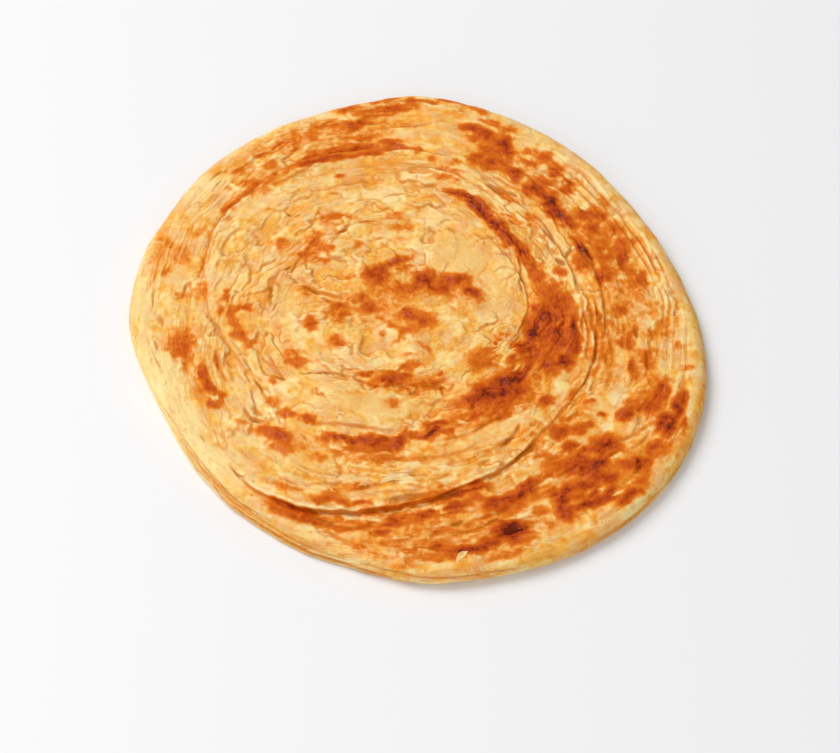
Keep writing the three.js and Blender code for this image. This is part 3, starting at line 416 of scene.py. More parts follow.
# Where a lower layer of the outermost turn stands out beyond the upper one: height of its top, how far, and
# the middle and half-width of the stretch.
SIDE_LEDGES = ((3.4, 1.7, 230, 36), (2.6, 0.9, 28, 60), (1.5, 0.9, 250, 26), (2.2, 0.6, 315, 30))
SIDE_LAYER_DEPTH = 0.22
PALE_EVENING = 14  # sectors either way that the top's pale marks are evened over, down the side

# The low dome, and the rope's slow swells: rise, times round and phase.
DOME_RADIUS = 76
ROPE_SWELLS = ((0.35, 2, 0.7), (0.25, 5, 1.92))

# The coil's own middle, where patterns stop following its turns, and how closely they follow them outside it.
SWIRL_RADIUS = 16
COIL_PULL = 0.6

# Laps of the smaller layers.
STEP_WIDTH = 0.7  # from the top of a lap's edge to its foot
GROOVE_WIDTH = 0.9
LAP_TAPER = 0.25  # share of a lap's length over which it rises from either end
LAP_MARGIN = 3  # how far past its reach a lap is still worked out

# Leaves of dough that show as terraces on the right of the rim.
LEAF_COUNT = 5
LEAF_INSET = 3.0
LEAF_SPACING = 2.7
LEAF_SPAN = (348, 424)
LEAF_STAGGER = 8
LEAF_RISE = 0.5
LEAF_REACH = 2.4
LEAF_GROOVE = 0.35  # as a share of the rise
LEAF_WIDTH = 0.6

# Broken edges of thin sheets: seed, how tightly they break along the coil, pitch across it, step, patchiness.
SHEETS = ((101, 3.6, 7.5, 0.6, -0.05), (111, 6.5, 3.7, 0.42, -0.05), (121, 12, 2.0, 0.2, 0.08))

# Close pleats, and the finer ridges between them.
PLEAT_PITCH = 2.3
PLEAT_DEPTH = 0.34
RIDGE_DEPTH = 0.12

# Blisters and dents of the skin: seed, size and depth.
BLISTERS = ((41, 6.5, 0.24), (44, 3, 0.1), (42, 1.4, 0.06))

# How many times the top is smoothed to tell hollows from ridges, and the depths over which hollows get
# painted shade and ridges a painted highlight.
RELIEF_STEPS = 14
RELIEF_RANGE = (0.08, 0.3)

# How much longer and wider the orange round a browned mark is than the mark.
HALO = 7

# Griddle marks of the underside: how many, and the radius that they reach.
UNDER_MARKS = 170
UNDER_MARKS_REACH = 88

# Lines of the mesh.
SECTORS = 400
RINGS_RIM_TO_DISC_EDGE = 56
RINGS_AT_DISC_EDGE = 24
RINGS_DISC_TO_HEART_EDGE = 58
RINGS_AT_HEART_EDGE = 12
RINGS_IN_HEART = 44
RINGS_OF_RIM = 32
RINGS_UNDER = 22
TOP_RINGS = (
    RINGS_RIM_TO_DISC_EDGE + RINGS_AT_DISC_EDGE + RINGS_DISC_TO_HEART_EDGE
    + RINGS_AT_HEART_EDGE + RINGS_IN_HEART
)
ALL_RINGS = TOP_RINGS + RINGS_OF_RIM + RINGS_UNDER


def smooth(value, low, high):
    """0 below low, 1 above high and an easy curve between."""
    share = np.clip((value - low) / (high - low), 0, 1)
    return share * share * (3 - 2 * share)


def bell(offset):
    """1 at 0, dying away on both sides."""
    return np.exp(-offset * offset)


def stretch(degrees, middle, half):
    """1 along a stretch of the round, fading out at both ends."""
    away = abs((degrees - middle + 540) % 360 - 180)
    return 1 - smooth(away, 0.4 * half, half)


def around(values, degrees):
    """The value at each angle of a list that goes once round, by a Catmull-Rom curve."""
    values = np.asarray(values, float)
    place = np.asarray(degrees, float) / 360 * len(values)
    whole = np.floor(place).astype(int)
    t = place - whole
    a, b, c, d = (values[(whole + k) % len(values)] for k in (-1, 0, 1, 2))
    return b + 0.5 * t * (c - a + t * (2 * a - 5 * b + 4 * c - d + t * (3 * (b - c) + d - a)))


class Noise:
    """Smooth seeded noise, about -1 to 1, with features about one unit across."""

    def __init__(self, seed):
        draw = np.random.default_rng(seed)
        self.order = draw.permutation(256)
        slopes = draw.normal(size=(256, 3))
        self.slopes = slopes / np.linalg.norm(slopes, axis=1, keepdims=True)

    def __call__(self, x, y, z, octaves=1):
        given = np.broadcast_arrays(x, y, z)
        points = np.stack([np.ravel(part) for part in given], axis=1)
        total = sum(self.once(points * 2.0**i + 17.3 * i) * 0.5**i for i in range(octaves))
        return total.reshape(given[0].shape)

    def once(self, points):
        cell = np.floor(points).astype(int)
        inside = points - cell
        fade = inside**3 * (inside * (inside * 6 - 15) + 10)
        total = np.zeros(len(points))
        for corner in np.ndindex(2, 2, 2):
            at = (cell + corner) % 256
            pick = self.order[(self.order[(self.order[at[:, 0]] + at[:, 1]) % 256] + at[:, 2]) % 256]
            weight = np.where(corner, fade, 1 - fade).prod(axis=1)
            total += weight * np.einsum("ij,ij->i", self.slopes[pick], inside - corner)
        return 1.6 * total


def smooth_path(points, steps=6):
    """Points along a Catmull-Rom curve through the given ones."""
    points = np.asarray(points, float)
    padded = np.vstack([2 * points[0] - points[1], points, 2 * points[-1] - points[-2]])
    out = []
    for i in range(len(points) - 1):
        a, b, c, d = padded[i : i + 4]
        for t in np.linspace(0, 1, steps, endpoint=False):
            out.append(b + 0.5 * t * (c - a + t * (2 * a - 5 * b + 4 * c - d + t * (3 * (b - c) + d - a))))
    return np.vstack(out + [points[-1]])


def beside_path(path, x, y):
    """For each point: how far right of the path, share of the way along it, and the direction right there."""
    start = path[:-1]
    leg = np.diff(path, axis=0)
    length2 = (leg**2).sum(axis=1)
    to_x = x[:, None] - start[:, 0]
    to_y = y[:, None] - start[:, 1]
    part = np.clip((to_x * leg[:, 0] + to_y * leg[:, 1]) / length2, 0, 1)
    off_x = to_x - part * leg[:, 0]
    off_y = to_y - part * leg[:, 1]
    distance2 = off_x**2 + off_y**2
    nearest = distance2.argmin(axis=1)
    rows = np.arange(len(x))
    side = np.sign(leg[nearest, 1] * to_x[rows, nearest] - leg[nearest, 0] * to_y[rows, nearest])
    share = (nearest + part[rows, nearest]) / len(leg)
    right = np.stack([leg[nearest, 1], -leg[nearest, 0]], axis=1) / np.sqrt(length2[nearest])[:, None]
    return side * np.sqrt(distance2[rows, nearest]), share, right


def spread(marks, x, y, softness=(0.6, 1.5)):
    """How strongly a table of oval marks covers each point."""
    total = np.zeros_like(x)
    for mark_x, mark_y, length, width, turn, strength in marks:
        near = np.maximum(abs(x - mark_x), abs(y - mark_y)) < softness[1] * max(length, width)
        c, s = math.cos(math.radians(turn)), math.sin(math.radians(turn))
        u = ((x[near] - mark_x) * c + (y[near] - mark_y) * s) / (0.5 * length)
        v = ((y[near] - mark_y) * c - (x[near] - mark_x) * s) / (0.5 * width)
        total[near] += (strength * (1 - smooth(np.hypot(u, v), *softness))) ** 4
    return total**0.25


def toasting(x, y):
    """The griddle's marks, with ragged outlines, and the heat round and between them."""
    sway_x, sway_y = (
        1.3 * Noise(seed)(x / 5, y / 5, 0, 2) + 0.3 * Noise(seed + 2)(x / 2, y / 2, 0) for seed in (51, 52))
    halos = [(*mark[:2], mark[2] + HALO, mark[3] + HALO, *mark[4:]) for mark in TOAST_MARKS]
    toast = spread(TOAST_MARKS, x + sway_x, y + sway_y, (0.3, 1.9))
    heat = spread(halos, x + sway_x, y + sway_y, (0.2, 1.3))
    return toast, np.maximum(heat, spread(BLUSH_MARKS, x + 2 * sway_x, y + 2 * sway_y, (0.3, 1.2)))


class BreadForm:
    """The bread's surface as arrays of [sector, ring], from the top's middle to the underside's."""

    def __init__(self, settings):
        self.flakiness = settings.flakiness
        self.rope_height = settings.rope_height / MM
        self.dome_height = settings.dome_height / MM
        self.degrees = np.arange(SECTORS) * 360 / SECTORS
        waver = RIM_WAVER * Noise(3)(self.degrees / 9, 0 * self.degrees, 0.5)
        self.rim = around(RIM_RADII, self.degrees) + waver * np.sin(np.radians(self.degrees / 2))
        self.lay_out_top()
        self.follow_coil()
        self.swell_top()
        self.raise_layers()
        self.place_marks()
        self.break_sheets()
        self.fold_pleats()
        self.blister_skin()
        self.paint_relief_shade_and_highlight()
        self.round_rim()
        self.toast_underside()
        self.x = self.radius * np.cos(self.angle) + self.push_x
        self.y = self.radius * np.sin(self.angle) + self.push_y

    def lay_out_top(self):
        """Rings of the top, crowded at the two edges that go all the way round."""
        disc = around(DISC_EDGE["radii"], self.degrees)
        heart = around(HEART_EDGE["radii"], self.degrees)
        ledges = sum(reach * stretch(self.degrees, *where) for _, reach, *where in SIDE_LEDGES)
        self.rounding = TOP_ROUNDING - NARROW_ROPE[0] * stretch(self.degrees, *NARROW_ROPE[1:])
        outer = self.rim - ledges - self.rounding
        stations = (
            (heart - 2.2, RINGS_IN_HEART),
            (heart + 2.0, RINGS_AT_HEART_EDGE),
            (disc - 2.8, RINGS_DISC_TO_HEART_EDGE),
            (np.minimum(disc + 3.6, outer - 1.5), RINGS_AT_DISC_EDGE),
            (outer, RINGS_RIM_TO_DISC_EDGE),
        )
        inner = np.zeros(SECTORS)
        columns = [inner[:, None]]
        for station, count in stations:
            shares = (np.arange(count) + 1) / count
            columns.append(inner[:, None] + (station - inner)[:, None] * shares)
            inner = station
        self.radius = np.hstack(columns)
        self.angle = np.broadcast_to(np.radians(self.degrees)[:, None], self.radius.shape)
        self.x = self.radius * np.cos(self.angle)
        self.y = self.radius * np.sin(self.angle)

    def follow_coil(self):
        """Coordinates that run along the layers and across them, for patterns that follow the coil."""
        radius, angle = self.radius, self.angle
        across = radius
        for edge in (DISC_EDGE, HEART_EDGE):
            line = around(edge["radii"], np.degrees(angle))
            across = across - COIL_PULL * (line - edge["mean"]) * bell((radius - line) / edge["pull"])
        tilted = radius * (0.9 * np.sin(angle) + 0.3 * np.cos(angle))
        self.across = across + (tilted - radius) * bell(radius / SWIRL_RADIUS)
        share = radius / np.hypot(radius, SWIRL_RADIUS)
        self.coil_x, self.coil_y = share * np.cos(angle), share * np.sin(angle)

    def plane_noise(self, seed, size, octaves=2, at=0):
        """Noise over the top, with features of one size in every direction."""
        return Noise(seed)(self.x / size, self.y / size, at, octaves)

    def coil_noise(self, seed, tightness, pitch, octaves=2, sway=0):
        """Noise drawn out along the coil: how tightly it breaks along it, and its pitch across it."""
        across = self.across / pitch + sway
        return Noise(seed)(tightness * self.coil_x, tightness * self.coil_y, across, octaves)

    def swell_top(self):
        """The crown of the rope, the low dome and the slow swells of the dough."""
        x, y = self.x, self.y
        swell = sum(rise * np.sin(times * self.angle + phase) for rise, times, phase in ROPE_SWELLS)
        self.height = (
            self.rope_height
            + self.dome_height * (1 - smooth(self.radius, 0.35 * DOME_RADIUS, DOME_RADIUS))
            + swell * smooth(self.radius, 0.3 * DOME_RADIUS, DOME_RADIUS)
            + 0.34 * np.sin(x / 9 + 1) * np.cos(y / 11)
            + 0.26 * np.sin((x + y) / 7) * np.sin(y / 8 + 2)
        )
        for name in ("crease", "lip", "push_x", "push_y"):
            setattr(self, name, np.zeros_like(x))

    def raise_layers(self):
        """The two edges that go all the way round, the terraces on the right and the smaller laps."""
        degrees = np.degrees(self.angle)
        outwards = np.cos(self.angle), np.sin(self.angle)
        wander = 0.55 * self.plane_noise(11, 9) + 0.3 * self.plane_noise(12, 2.6)
        ragged = 0.8 + 0.5 * self.plane_noise(13, 5)

        for edge in (DISC_EDGE, HEART_EDGE):
            rise = np.maximum(0, around(edge["rises"], degrees)) * (0.5 + 0.5 * ragged)
            outside = self.radius - around(edge["radii"], degrees) + wander
            self.add_step(outside, rise, edge["reach"], edge["groove"] * rise, edge["width"], outwards)

        turned = np.where(degrees < 180, degrees + 360, degrees)
        for leaf in range(LEAF_COUNT):
            start = LEAF_SPAN[0] + leaf * LEAF_STAGGER
            share = np.clip((turned - start) / (LEAF_SPAN[1] - start), 0, 1)
            rise = LEAF_RISE * np.sin(np.pi * share)
            outside = self.radius - around(RIM_RADII, degrees) + LEAF_INSET + leaf * LEAF_SPACING + wander
            self.add_step(outside, rise, LEAF_REACH, LEAF_GROOVE * rise, LEAF_WIDTH, outwards)

        flat_x, flat_y = (self.x + 0.7 * wander).ravel(), (self.y - 0.7 * wander).ravel()
        for points, rise, reach, groove in LAPS:
            path = smooth_path(points)
            low, high = path.min(axis=0) - reach - LAP_MARGIN, path.max(axis=0) + reach + LAP_MARGIN
            near = (flat_x > low[0]) & (flat_x < high[0]) & (flat_y > low[1]) & (flat_y < high[1])
            outside, share, right = beside_path(path, flat_x[near], flat_y[near])
            taper = smooth(share, 0, LAP_TAPER) * smooth(1 - share, 0, LAP_TAPER) * ragged.ravel()[near]
            self.add_step(outside, rise * taper, reach, groove * taper, STEP_WIDTH, right.T, near)

    def add_step(self, outside, rise, reach, groove, width, outwards, near=slice(None)):
        """Raises the layer inside an edge, hangs its edge over and cuts the groove at its foot; paints shade,
        brown as with oil, down the face and in the groove, and a painted highlight along the top, as on a dry
        edge.
        """
        face = 1 - smooth(outside, -0.5 * width, 0.5 * width)
        slope = 1 - smooth(-outside, 0, reach)
        hollow = bell((outside - 0.9 * width) / GROOVE_WIDTH)
        size = abs(rise)
        overhang = 0.5 * size * bell((outside + 0.55) / 0.7) - 0.25 * size * bell((outside - 0.45) / 0.5)
        shifts = {
            "height": rise * face * slope - groove * hollow,
            "push_x": overhang * outwards[0],
            "push_y": overhang * outwards[1],
        }
        # Painted shade, brown as with oil, on the face and in the groove, and a painted highlight, as on a
        # dry edge, along the top.
        tints = {
            "crease": np.clip(size + groove, 0, 1) * bell((outside - 0.3 * width) / 0.9),
            "lip": np.clip(size, 0, 1) * bell((outside + 0.85) / 0.5),
        }
        for name, value in shifts.items():
            getattr(self, name).reshape(-1)[near] += np.ravel(value)
        for name, value in tints.items():
            kept = getattr(self, name).reshape(-1)
            kept[near] = np.maximum(kept[near], np.ravel(value))

    def tint(self, crease, lip):
        """Marks painted shade, brown as with oil, in hollows and painted highlights, as on dry edges, on
        ridges for the material, where they are stronger than those marked already.
        """
        self.crease = np.maximum(self.crease, crease)
        self.lip = np.maximum(self.lip, lip)

    def place_marks(self):
        """The griddle's marks, butter, pale dough and the open crevices."""
        x, y = self.x, self.y
        self.toast, self.heat = toasting(x, y)
        self.butter = spread(BUTTER_MARKS, x, y, (0.5, 1.25))
        self.pale = spread(PALE_MARKS, x, y, (0.4, 1.3))
        self.toast = self.toast * (1 - 0.8 * smooth(self.pale, 0.5, 0.9))
        frayed = 0.5 * self.plane_noise(45, 2)
        self.gap = spread(CREVICE_MARKS, x + frayed, y - frayed, (0.35, 1.3))
        self.height -= CREVICE_DEPTH * self.gap
        self.rough = 1 - 0.75 * np.maximum(self.butter, smooth(self.pale, 0.55, 0.9))

    def break_sheets(self):
        """Broken edges of thin sheets, along the zero lines of a noise that follows the coil."""
        off_middle = 0.35 + 0.65 * smooth(self.radius, 0.5 * SWIRL_RADIUS, 1.6 * SWIRL_RADIUS)
        for seed, tightness, pitch, step, patchiness in SHEETS:
            sway = 0.55 * self.plane_noise(seed + 1, 8, 3)
            beyond = self.distance_to_edge(self.coil_noise(seed, tightness, pitch, 1, sway))
            patch = self.plane_noise(seed + 2, 15, 2, 0.3)
            shown = smooth(patch, patchiness - 0.15, patchiness + 0.3) * self.rough * off_middle
            rise = smooth(beyond, -0.45, 0.45) - 0.5 - 0.4 * bell((beyond + 0.8) / 0.5)
            self.height += self.flakiness * step * shown * rise
            strength = (0.35 + 0.8 * step) * shown
            # Painted shade at the foot of each broken edge and a painted highlight along its top.
            self.tint(strength * bell((beyond + 0.35) / 0.55), strength * bell((beyond - 0.65) / 0.4))

    def distance_to_edge(self, field):
        """Signed distance to where a field over the top is zero, from its slope there."""
        turn = 2 * math.pi / SECTORS
        along = (np.roll(field, -1, 0) - np.roll(field, 1, 0)) / (2 * turn * np.maximum(self.radius, 2))
        outward = np.gradient(field, axis=1) / np.gradient(self.radius, axis=1)
        return field / np.maximum(np.hypot(along, outward), 0.06)

    def fold_pleats(self):
        """Close pleats along the coil, and the finer ridges between them."""
        toasted = smooth(self.toast, 0.4, 0.8)
        self.pleat = spread(PLEAT_MARKS, self.x, self.y, (0.5, 1.3)) * (1 - 0.6 * toasted)
        wave = np.sin(2 * np.pi * (self.across / PLEAT_PITCH + 0.9 * self.coil_noise(31, 4, 9)))
        shown = self.pleat * smooth(self.coil_noise(32, 6, 3), -0.5, 0.05)
        self.height += self.flakiness * PLEAT_DEPTH * shown * wave
        # Painted shade in the troughs of the pleats and a painted highlight on their crests.
        self.tint(0.7 * shown * smooth(-wave, 0, 0.9), shown * smooth(wave, 0.4, 1))
        ridges = 1 - 2 * abs(self.coil_noise(33, 7, 2.1))
        self.height += self.flakiness * RIDGE_DEPTH * self.rough * ridges

    def blister_skin(self):
        """Blisters and dents of the skin, which the griddle raises a little."""
        skin = sum(depth * self.plane_noise(seed, size, 2, 0.5) for seed, size, depth in BLISTERS)
        self.height += self.flakiness * skin * (0.35 + 0.65 * self.rough)
        self.height += 0.3 * self.toast + 0.14 * self.toast * self.plane_noise(43, 1.8, 2, 0.2)

    def paint_relief_shade_and_highlight(self):
        """Hollows a couple of millimetres wide get painted shade, brown as with oil, and ridges a painted
        highlight, pale as dry dough.
        """
        level = self.height
        for _ in range(RELIEF_STEPS):
            across = np.pad(level, ((0, 0), (1, 1)), mode="edge")
            beside = np.roll(level, 1, 0) + np.roll(level, -1, 0) + across[:, 2:] + across[:, :-2]
            level = 0.5 * level + 0.125 * beside
        relief = self.height - level
        self.tint(0.4 * smooth(-relief, *RELIEF_RANGE), 0.4 * smooth(relief, *RELIEF_RANGE))

    def round_rim(self):
        """The side of the rim, with the ledges and gaps of its layers and painted shade along them, and the
        rings of the underside.
        """
        degrees = self.degrees[:, None]
        angle = np.radians(degrees)
        crown = self.height[:, -1:]
        belly = RIM_BELLY * self.rope_height
        bend = np.linspace(90, -90, RINGS_OF_RIM + 1)[None, 1:]
        up, out = np.sin(np.radians(bend)), np.cos(np.radians(bend))
        rounding = np.where(bend < 0, BOTTOM_ROUNDING, self.rounding[:, None])
        height = belly + up * np.where(bend < 0, belly, crown - belly)
        radius = self.rim[:, None] - rounding * (1 - out**RIM_SQUARENESS)
        # Painted shade, brown as with oil, along each ledge and each gap of the side.
        crease = np.zeros_like(height)
        level = height - 0.45 * Noise(61)(6 * np.cos(angle), 6 * np.sin(angle), 0.2, 3)
        for top, reach, middle, half in SIDE_LEDGES:
            there = stretch(degrees, middle, half)
            radius = radius - reach * there * smooth(level, top - 0.45, top + 0.45)
            crease = np.maximum(crease, 0.7 * there * bell((level - top - 0.3) / 0.4))
        for gap_height, depth, middle, half in SIDE_GAPS:
            cut = stretch(degrees, middle, half) * bell((level - gap_height) / SIDE_GAP_WIDTH)
            radius = radius - depth * cut
            crease = np.maximum(crease, cut * min(1, depth))
        layers = Noise(62)(9 * np.cos(angle), 9 * np.sin(angle), height / 1.1, 2)
        radius = radius + SIDE_LAYER_DEPTH * layers * out**2
        under = radius[:, -1:] * (1 - (np.arange(RINGS_UNDER) + 1) / RINGS_UNDER)

        steps = np.hypot(
            np.diff(radius, axis=1, prepend=self.radius[:, -1:]), np.diff(height, axis=1, prepend=crown))
        across = self.across[:, -1:] + np.cumsum(steps, axis=1)
        # The side's lower half isn't toasted, and the top's pale marks are evened out along it.
        down = smooth(-up, -1, -0.4)
        turns = range(-PALE_EVENING, PALE_EVENING + 1)
        evened = sum(np.roll(self.pale[:, -1:], turn, 0) for turn in turns) / len(turns)
        pale = self.pale[:, -1:] * (1 - down) + np.maximum(evened, 0.15) * down
        toast, heat = toasting(radius * np.cos(angle), radius * np.sin(angle))
        self.extend(
            radius=(radius, under),
            height=(height, 0),
            across=(across, across[:, -1:] + radius[:, -1:] - under),
            toast=(toast * smooth(height, 2.5, 6), 0),
            heat=(np.maximum(heat * smooth(height, -1, 6), 0.3 * down), 0),
            pale=(pale, 0.35), crease=(crease, 0), pleat=(1, 1),
            lip=(0, 0), butter=(0, 0), gap=(0, 0), push_x=(0, 0), push_y=(0, 0),
        )
        self.angle = np.broadcast_to(angle, self.radius.shape)

    def extend(self, **parts):
        """Adds the rings of the side and of the underside to the top's arrays."""
        for name, (side, under) in parts.items():
            side = np.broadcast_to(side, (SECTORS, RINGS_OF_RIM))
            under = np.broadcast_to(under, (SECTORS, RINGS_UNDER))
            setattr(self, name, np.hstack([getattr(self, name), side, under]))

    def toast_underside(self):
        """Seeded griddle marks along the coil on the side that lies down."""
        draw = np.random.default_rng(71)
        marks = []
        for _ in range(UNDER_MARKS):
            radius = UNDER_MARKS_REACH * math.sqrt(draw.uniform(0.01, 1))
            turn = draw.uniform(0, 360)
            marks.append((
                radius * math.cos(math.radians(turn)), radius * math.sin(math.radians(turn)),
                draw.uniform(7, 20), draw.uniform(5, 10), turn + 90 + draw.uniform(-25, 25),
                draw.uniform(0.35, 0.95),
            ))
        first = TOP_RINGS + RINGS_OF_RIM - 3
        radius, angle = self.radius[:, first:], self.angle[:, first:]
        x, y = radius * np.cos(angle), radius * np.sin(angle)
        sway_x, sway_y = (3 * Noise(seed)(x / 9, y / 9, 0, 2) for seed in (72, 73))
        fade = smooth(self.rim[:, None] - radius, 1, 9)
        self.toast[:, first:] = fade * spread(marks, x + sway_x, y + sway_y)
        self.heat[:, first:] = 0.35 + 0.65 * self.toast[:, first:]


# ---------------------------------------------------------------- meshes

# What the material reads at each point: how much there is of each of these, and coordinates along the coil.
LAYERS = ("toast", "heat", "butter", "pale", "pleat", "crease", "lip", "gap")
# Flakes get a little painted highlight all over, as dry edges have.
FLAKE_LAYERS = {"heat": 0.2, "pale": 0.6, "lip": 0.4}
FLOW_TURNS = 6
FLOW_PITCH = 2.4

SMOOTH_ANGLE = math.radians(60)
FLAKE_LIFT = 0.12
ABOVE_BREAD = 50


def deselect_all():
    for obj in bpy.context.selected_objects:
        obj.select_set(False)


def point_attribute(mesh, name, values):
    kind, field = ("FLOAT_VECTOR", "vector") if values.ndim == 2 else ("FLOAT", "value")
    attribute = mesh.attributes.new(name, kind, "POINT")
    attribute.data.foreach_set(field, values.astype(np.float32).ravel())


def smooth_by_angle(obj):
    deselect_all()
    obj.select_set(True)
    bpy.context.view_layer.objects.active = obj
    bpy.ops.object.shade_smooth_by_angle(angle=SMOOTH_ANGLE)


def make_bread(settings):
    """A ball of dough, pressed and folded into the bread point by point."""
    deselect_all()
    bpy.ops.mesh.primitive_uv_sphere_add(segments=SECTORS, ring_count=ALL_RINGS, radius=1)
    bread = bpy.context.object
    bread.name = bread.data.name = "bread"
    mesh = bread.data
    ball = np.empty(len(mesh.vertices) * 3)
    mesh.vertices.foreach_get("co", ball)
    ball = ball.reshape(-1, 3)
    ring = np.rint(np.arccos(np.clip(ball[:, 2], -1, 1)) / math.pi * ALL_RINGS).astype(int)
    sector = np.rint(np.arctan2(ball[:, 1], ball[:, 0]) / (2 * math.pi) * SECTORS).astype(int) % SECTORS
    sector[(ring == 0) | (ring == ALL_RINGS)] = 0

    form = BreadForm(settings)
    share = FLOW_TURNS * form.radius / np.hypot(form.radius, SWIRL_RADIUS)
    place = form.x + COIL_MIDDLE[0], form.y + COIL_MIDDLE[1], np.maximum(form.height, 0)
    flow = share * np.cos(form.angle), share * np.sin(form.angle), form.across / FLOW_PITCH
    place, flow = (np.stack([part[sector, ring] for part in parts], axis=1) for parts in (place, flow))
    mesh.vertices.foreach_set("co", (place * MM).ravel())
    mesh.update()
    for name in LAYERS:
        point_attribute(mesh, name, getattr(form, name)[sector, ring])
    point_attribute(mesh, "flow", flow)
    smooth_by_angle(bread)
    return bread


def surface_height(bread, x, y):
    """Height of the bread's top under a point, in millimetres."""
    hit, place, _, _ = bread.ray_cast(Vector((x, y, ABOVE_BREAD)) * MM, (0, 0, -1))
    if not hit:
        raise RuntimeError("a flake lies off the bread")
    return place.z / MM


def make_flake(bread, x, y, length, width, turn, curl):
    """A pointed leaf: one side lies on the bread and the other stands free."""
    deselect_all()
    bpy.ops.mesh.primitive_grid_add(x_subdivisions=16, y_subdivisions=5, size=1)
    flake = bpy.context.object
    c, s = math.cos(math.radians(turn)), math.sin(math.radians(turn))
    for vertex in flake.data.vertices:
        u, v = vertex.co.x, vertex.co.y
        bow = 1 - 4 * u * u
        pointed = bow**0.7 * (1 + 0.15 * math.sin(7 * u + x)) + 0.02
        along = u * length
        aside = v * width * pointed + FLAKE_BOW * length * bow
        here_x = x + COIL_MIDDLE[0] + along * c - aside * s
        here_y = y + COIL_MIDDLE[1] + along * s + aside * c
        lift = FLAKE_LIFT + curl * (v + 0.5) ** 2 * pointed
        vertex.co = Vector((here_x, here_y, surface_height(bread, here_x, here_y) + lift)) * MM
    flake.modifiers.new("thickness", "SOLIDIFY").thickness = FLAKE_THICKNESS * MM
    bpy.ops.object.modifier_apply(modifier="thickness")
    return flake


def make_flakes(bread):
    """The loose flakes, as one piece."""
    flakes = [make_flake(bread, *sizes) for sizes in FLAKES]
    deselect_all()
    for flake in flakes:
        flake.select_set(True)
    bpy.context.view_layer.objects.active = flakes[0]
    bpy.ops.object.join()
    joined = bpy.context.object
    joined.name = joined.data.name = "flakes"
    for name in LAYERS:
        point_attribute(joined.data, name, np.full(len(joined.data.vertices), FLAKE_LAYERS.get(name, 0)))
    smooth_by_angle(joined)
    return joined


# ---------------------------------------------------------------- materials

SKIN_RELIEF = 0.65
LIGHT_DEPTH = 3  # how far light goes into the dough


class Value:
    """A number's socket in a node tree. Arithmetic on it adds Math nodes."""

    def __init__(self, nodes, socket):
        self.nodes = nodes
        self.socket = socket

    def math(self, operation, *others):
        return self.nodes.add("ShaderNodeMath", {"operation": operation}, [self, *others])

    def __add__(self, other):
        return self.math("ADD", other)

    __radd__ = __add__

    def __mul__(self, other):
        return self.math("MULTIPLY", other)

    __rmul__ = __mul__

    def __sub__(self, other):
        return self.math("SUBTRACT", other)

    def __rsub__(self, other):
        return self.nodes.add("ShaderNodeMath", {"operation": "SUBTRACT"}, [other, self])

    def __abs__(self):
        return self.math("ABSOLUTE")

    def about(self, weight):
        """A noise counted from its mean, times a weight."""
        return (self - 0.5) * weight

    def between(self, low, high):
        """0 below low, 1 above high and smooth between."""
        settings = {"interpolation_type": "SMOOTHSTEP"}
        inputs = {"Value": self, "From Min": low, "From Max": high}
        return self.nodes.add("ShaderNodeMapRange", settings, inputs)


class Nodes:
    """Adds nodes to one material."""

    def __init__(self, name):
        self.material = bpy.data.materials.new(name)
        self.material.use_nodes = True
        self.tree = self.material.node_tree
        self.surface = self.tree.nodes["Principled BSDF"]

    def add(self, kind, settings=None, inputs=(), output=0):
        node = self.tree.nodes.new(kind)
        for key, setting in (settings or {}).items():
            if key == "stops":
                self.set_stops(node.color_ramp, setting)
            else:
                setattr(node, key, setting)
        pairs = inputs.items() if isinstance(inputs, dict) else enumerate(inputs)
        for key, given in pairs:
            self.feed(node.inputs[key], given)
        return Value(self, node.outputs[output])

    def feed(self, socket, given):
        if isinstance(given, Value):
            self.tree.links.new(given.socket, socket)
        else:
            socket.default_value = given

    def set_stops(self, ramp, stops):
        while len(ramp.elements) < len(stops):
            ramp.elements.new(0.5)
        for element, (position, colour) in zip(ramp.elements, stops):
            element.position = position
            element.color = (*colour, 1)

    def ramp(self, factor, stops):
        return self.add("ShaderNodeValToRGB", {"stops": stops}, [factor])

    def attribute(self, name, output="Fac"):
        return self.add("ShaderNodeAttribute", {"attribute_name": name}, output=output)

    def noise(self, vector, scale, detail=2, roughness=0.5, distortion=0):
        return self.add("ShaderNodeTexNoise", {}, {
            "Vector": vector, "Scale": scale, "Detail": detail,
            "Roughness": roughness, "Distortion": distortion,
        })

    def mix(self, factor, below, above, blend="MIX"):
        node = self.tree.nodes.new("ShaderNodeMix")
        node.data_type = "RGBA"
        node.blend_type = blend
        for socket, given in zip((node.inputs[0], node.inputs[6], node.inputs[7]), (factor, below, above)):
            self.feed(socket, given if isinstance(given, Value) or np.isscalar(given) else (*given[:3], 1))
        return Value(self, node.outputs[2])

    def millimetres(self):
        """Object coordinates in millimetres."""
        place = self.add("ShaderNodeTexCoord", output="Object")
        return self.add("ShaderNodeVectorMath", {"operation": "SCALE"}, {"Vector": place, "Scale": 1 / MM})

    def finish(self, **values):
        for name, given in values.items():
            self.feed(self.surface.inputs[name.replace("_", " ")], given)
        return self.material


def from_screen(red, green, blue):
    """A colour given as on a screen, 0 to 255, as the linear one that a shader takes."""
    def straight(share):
        return share / 12.92 if share <= 0.04045 else ((share + 0.055) / 1.055) ** 2.4
    return tuple(straight(part / 255) for part in (red, green, blue))


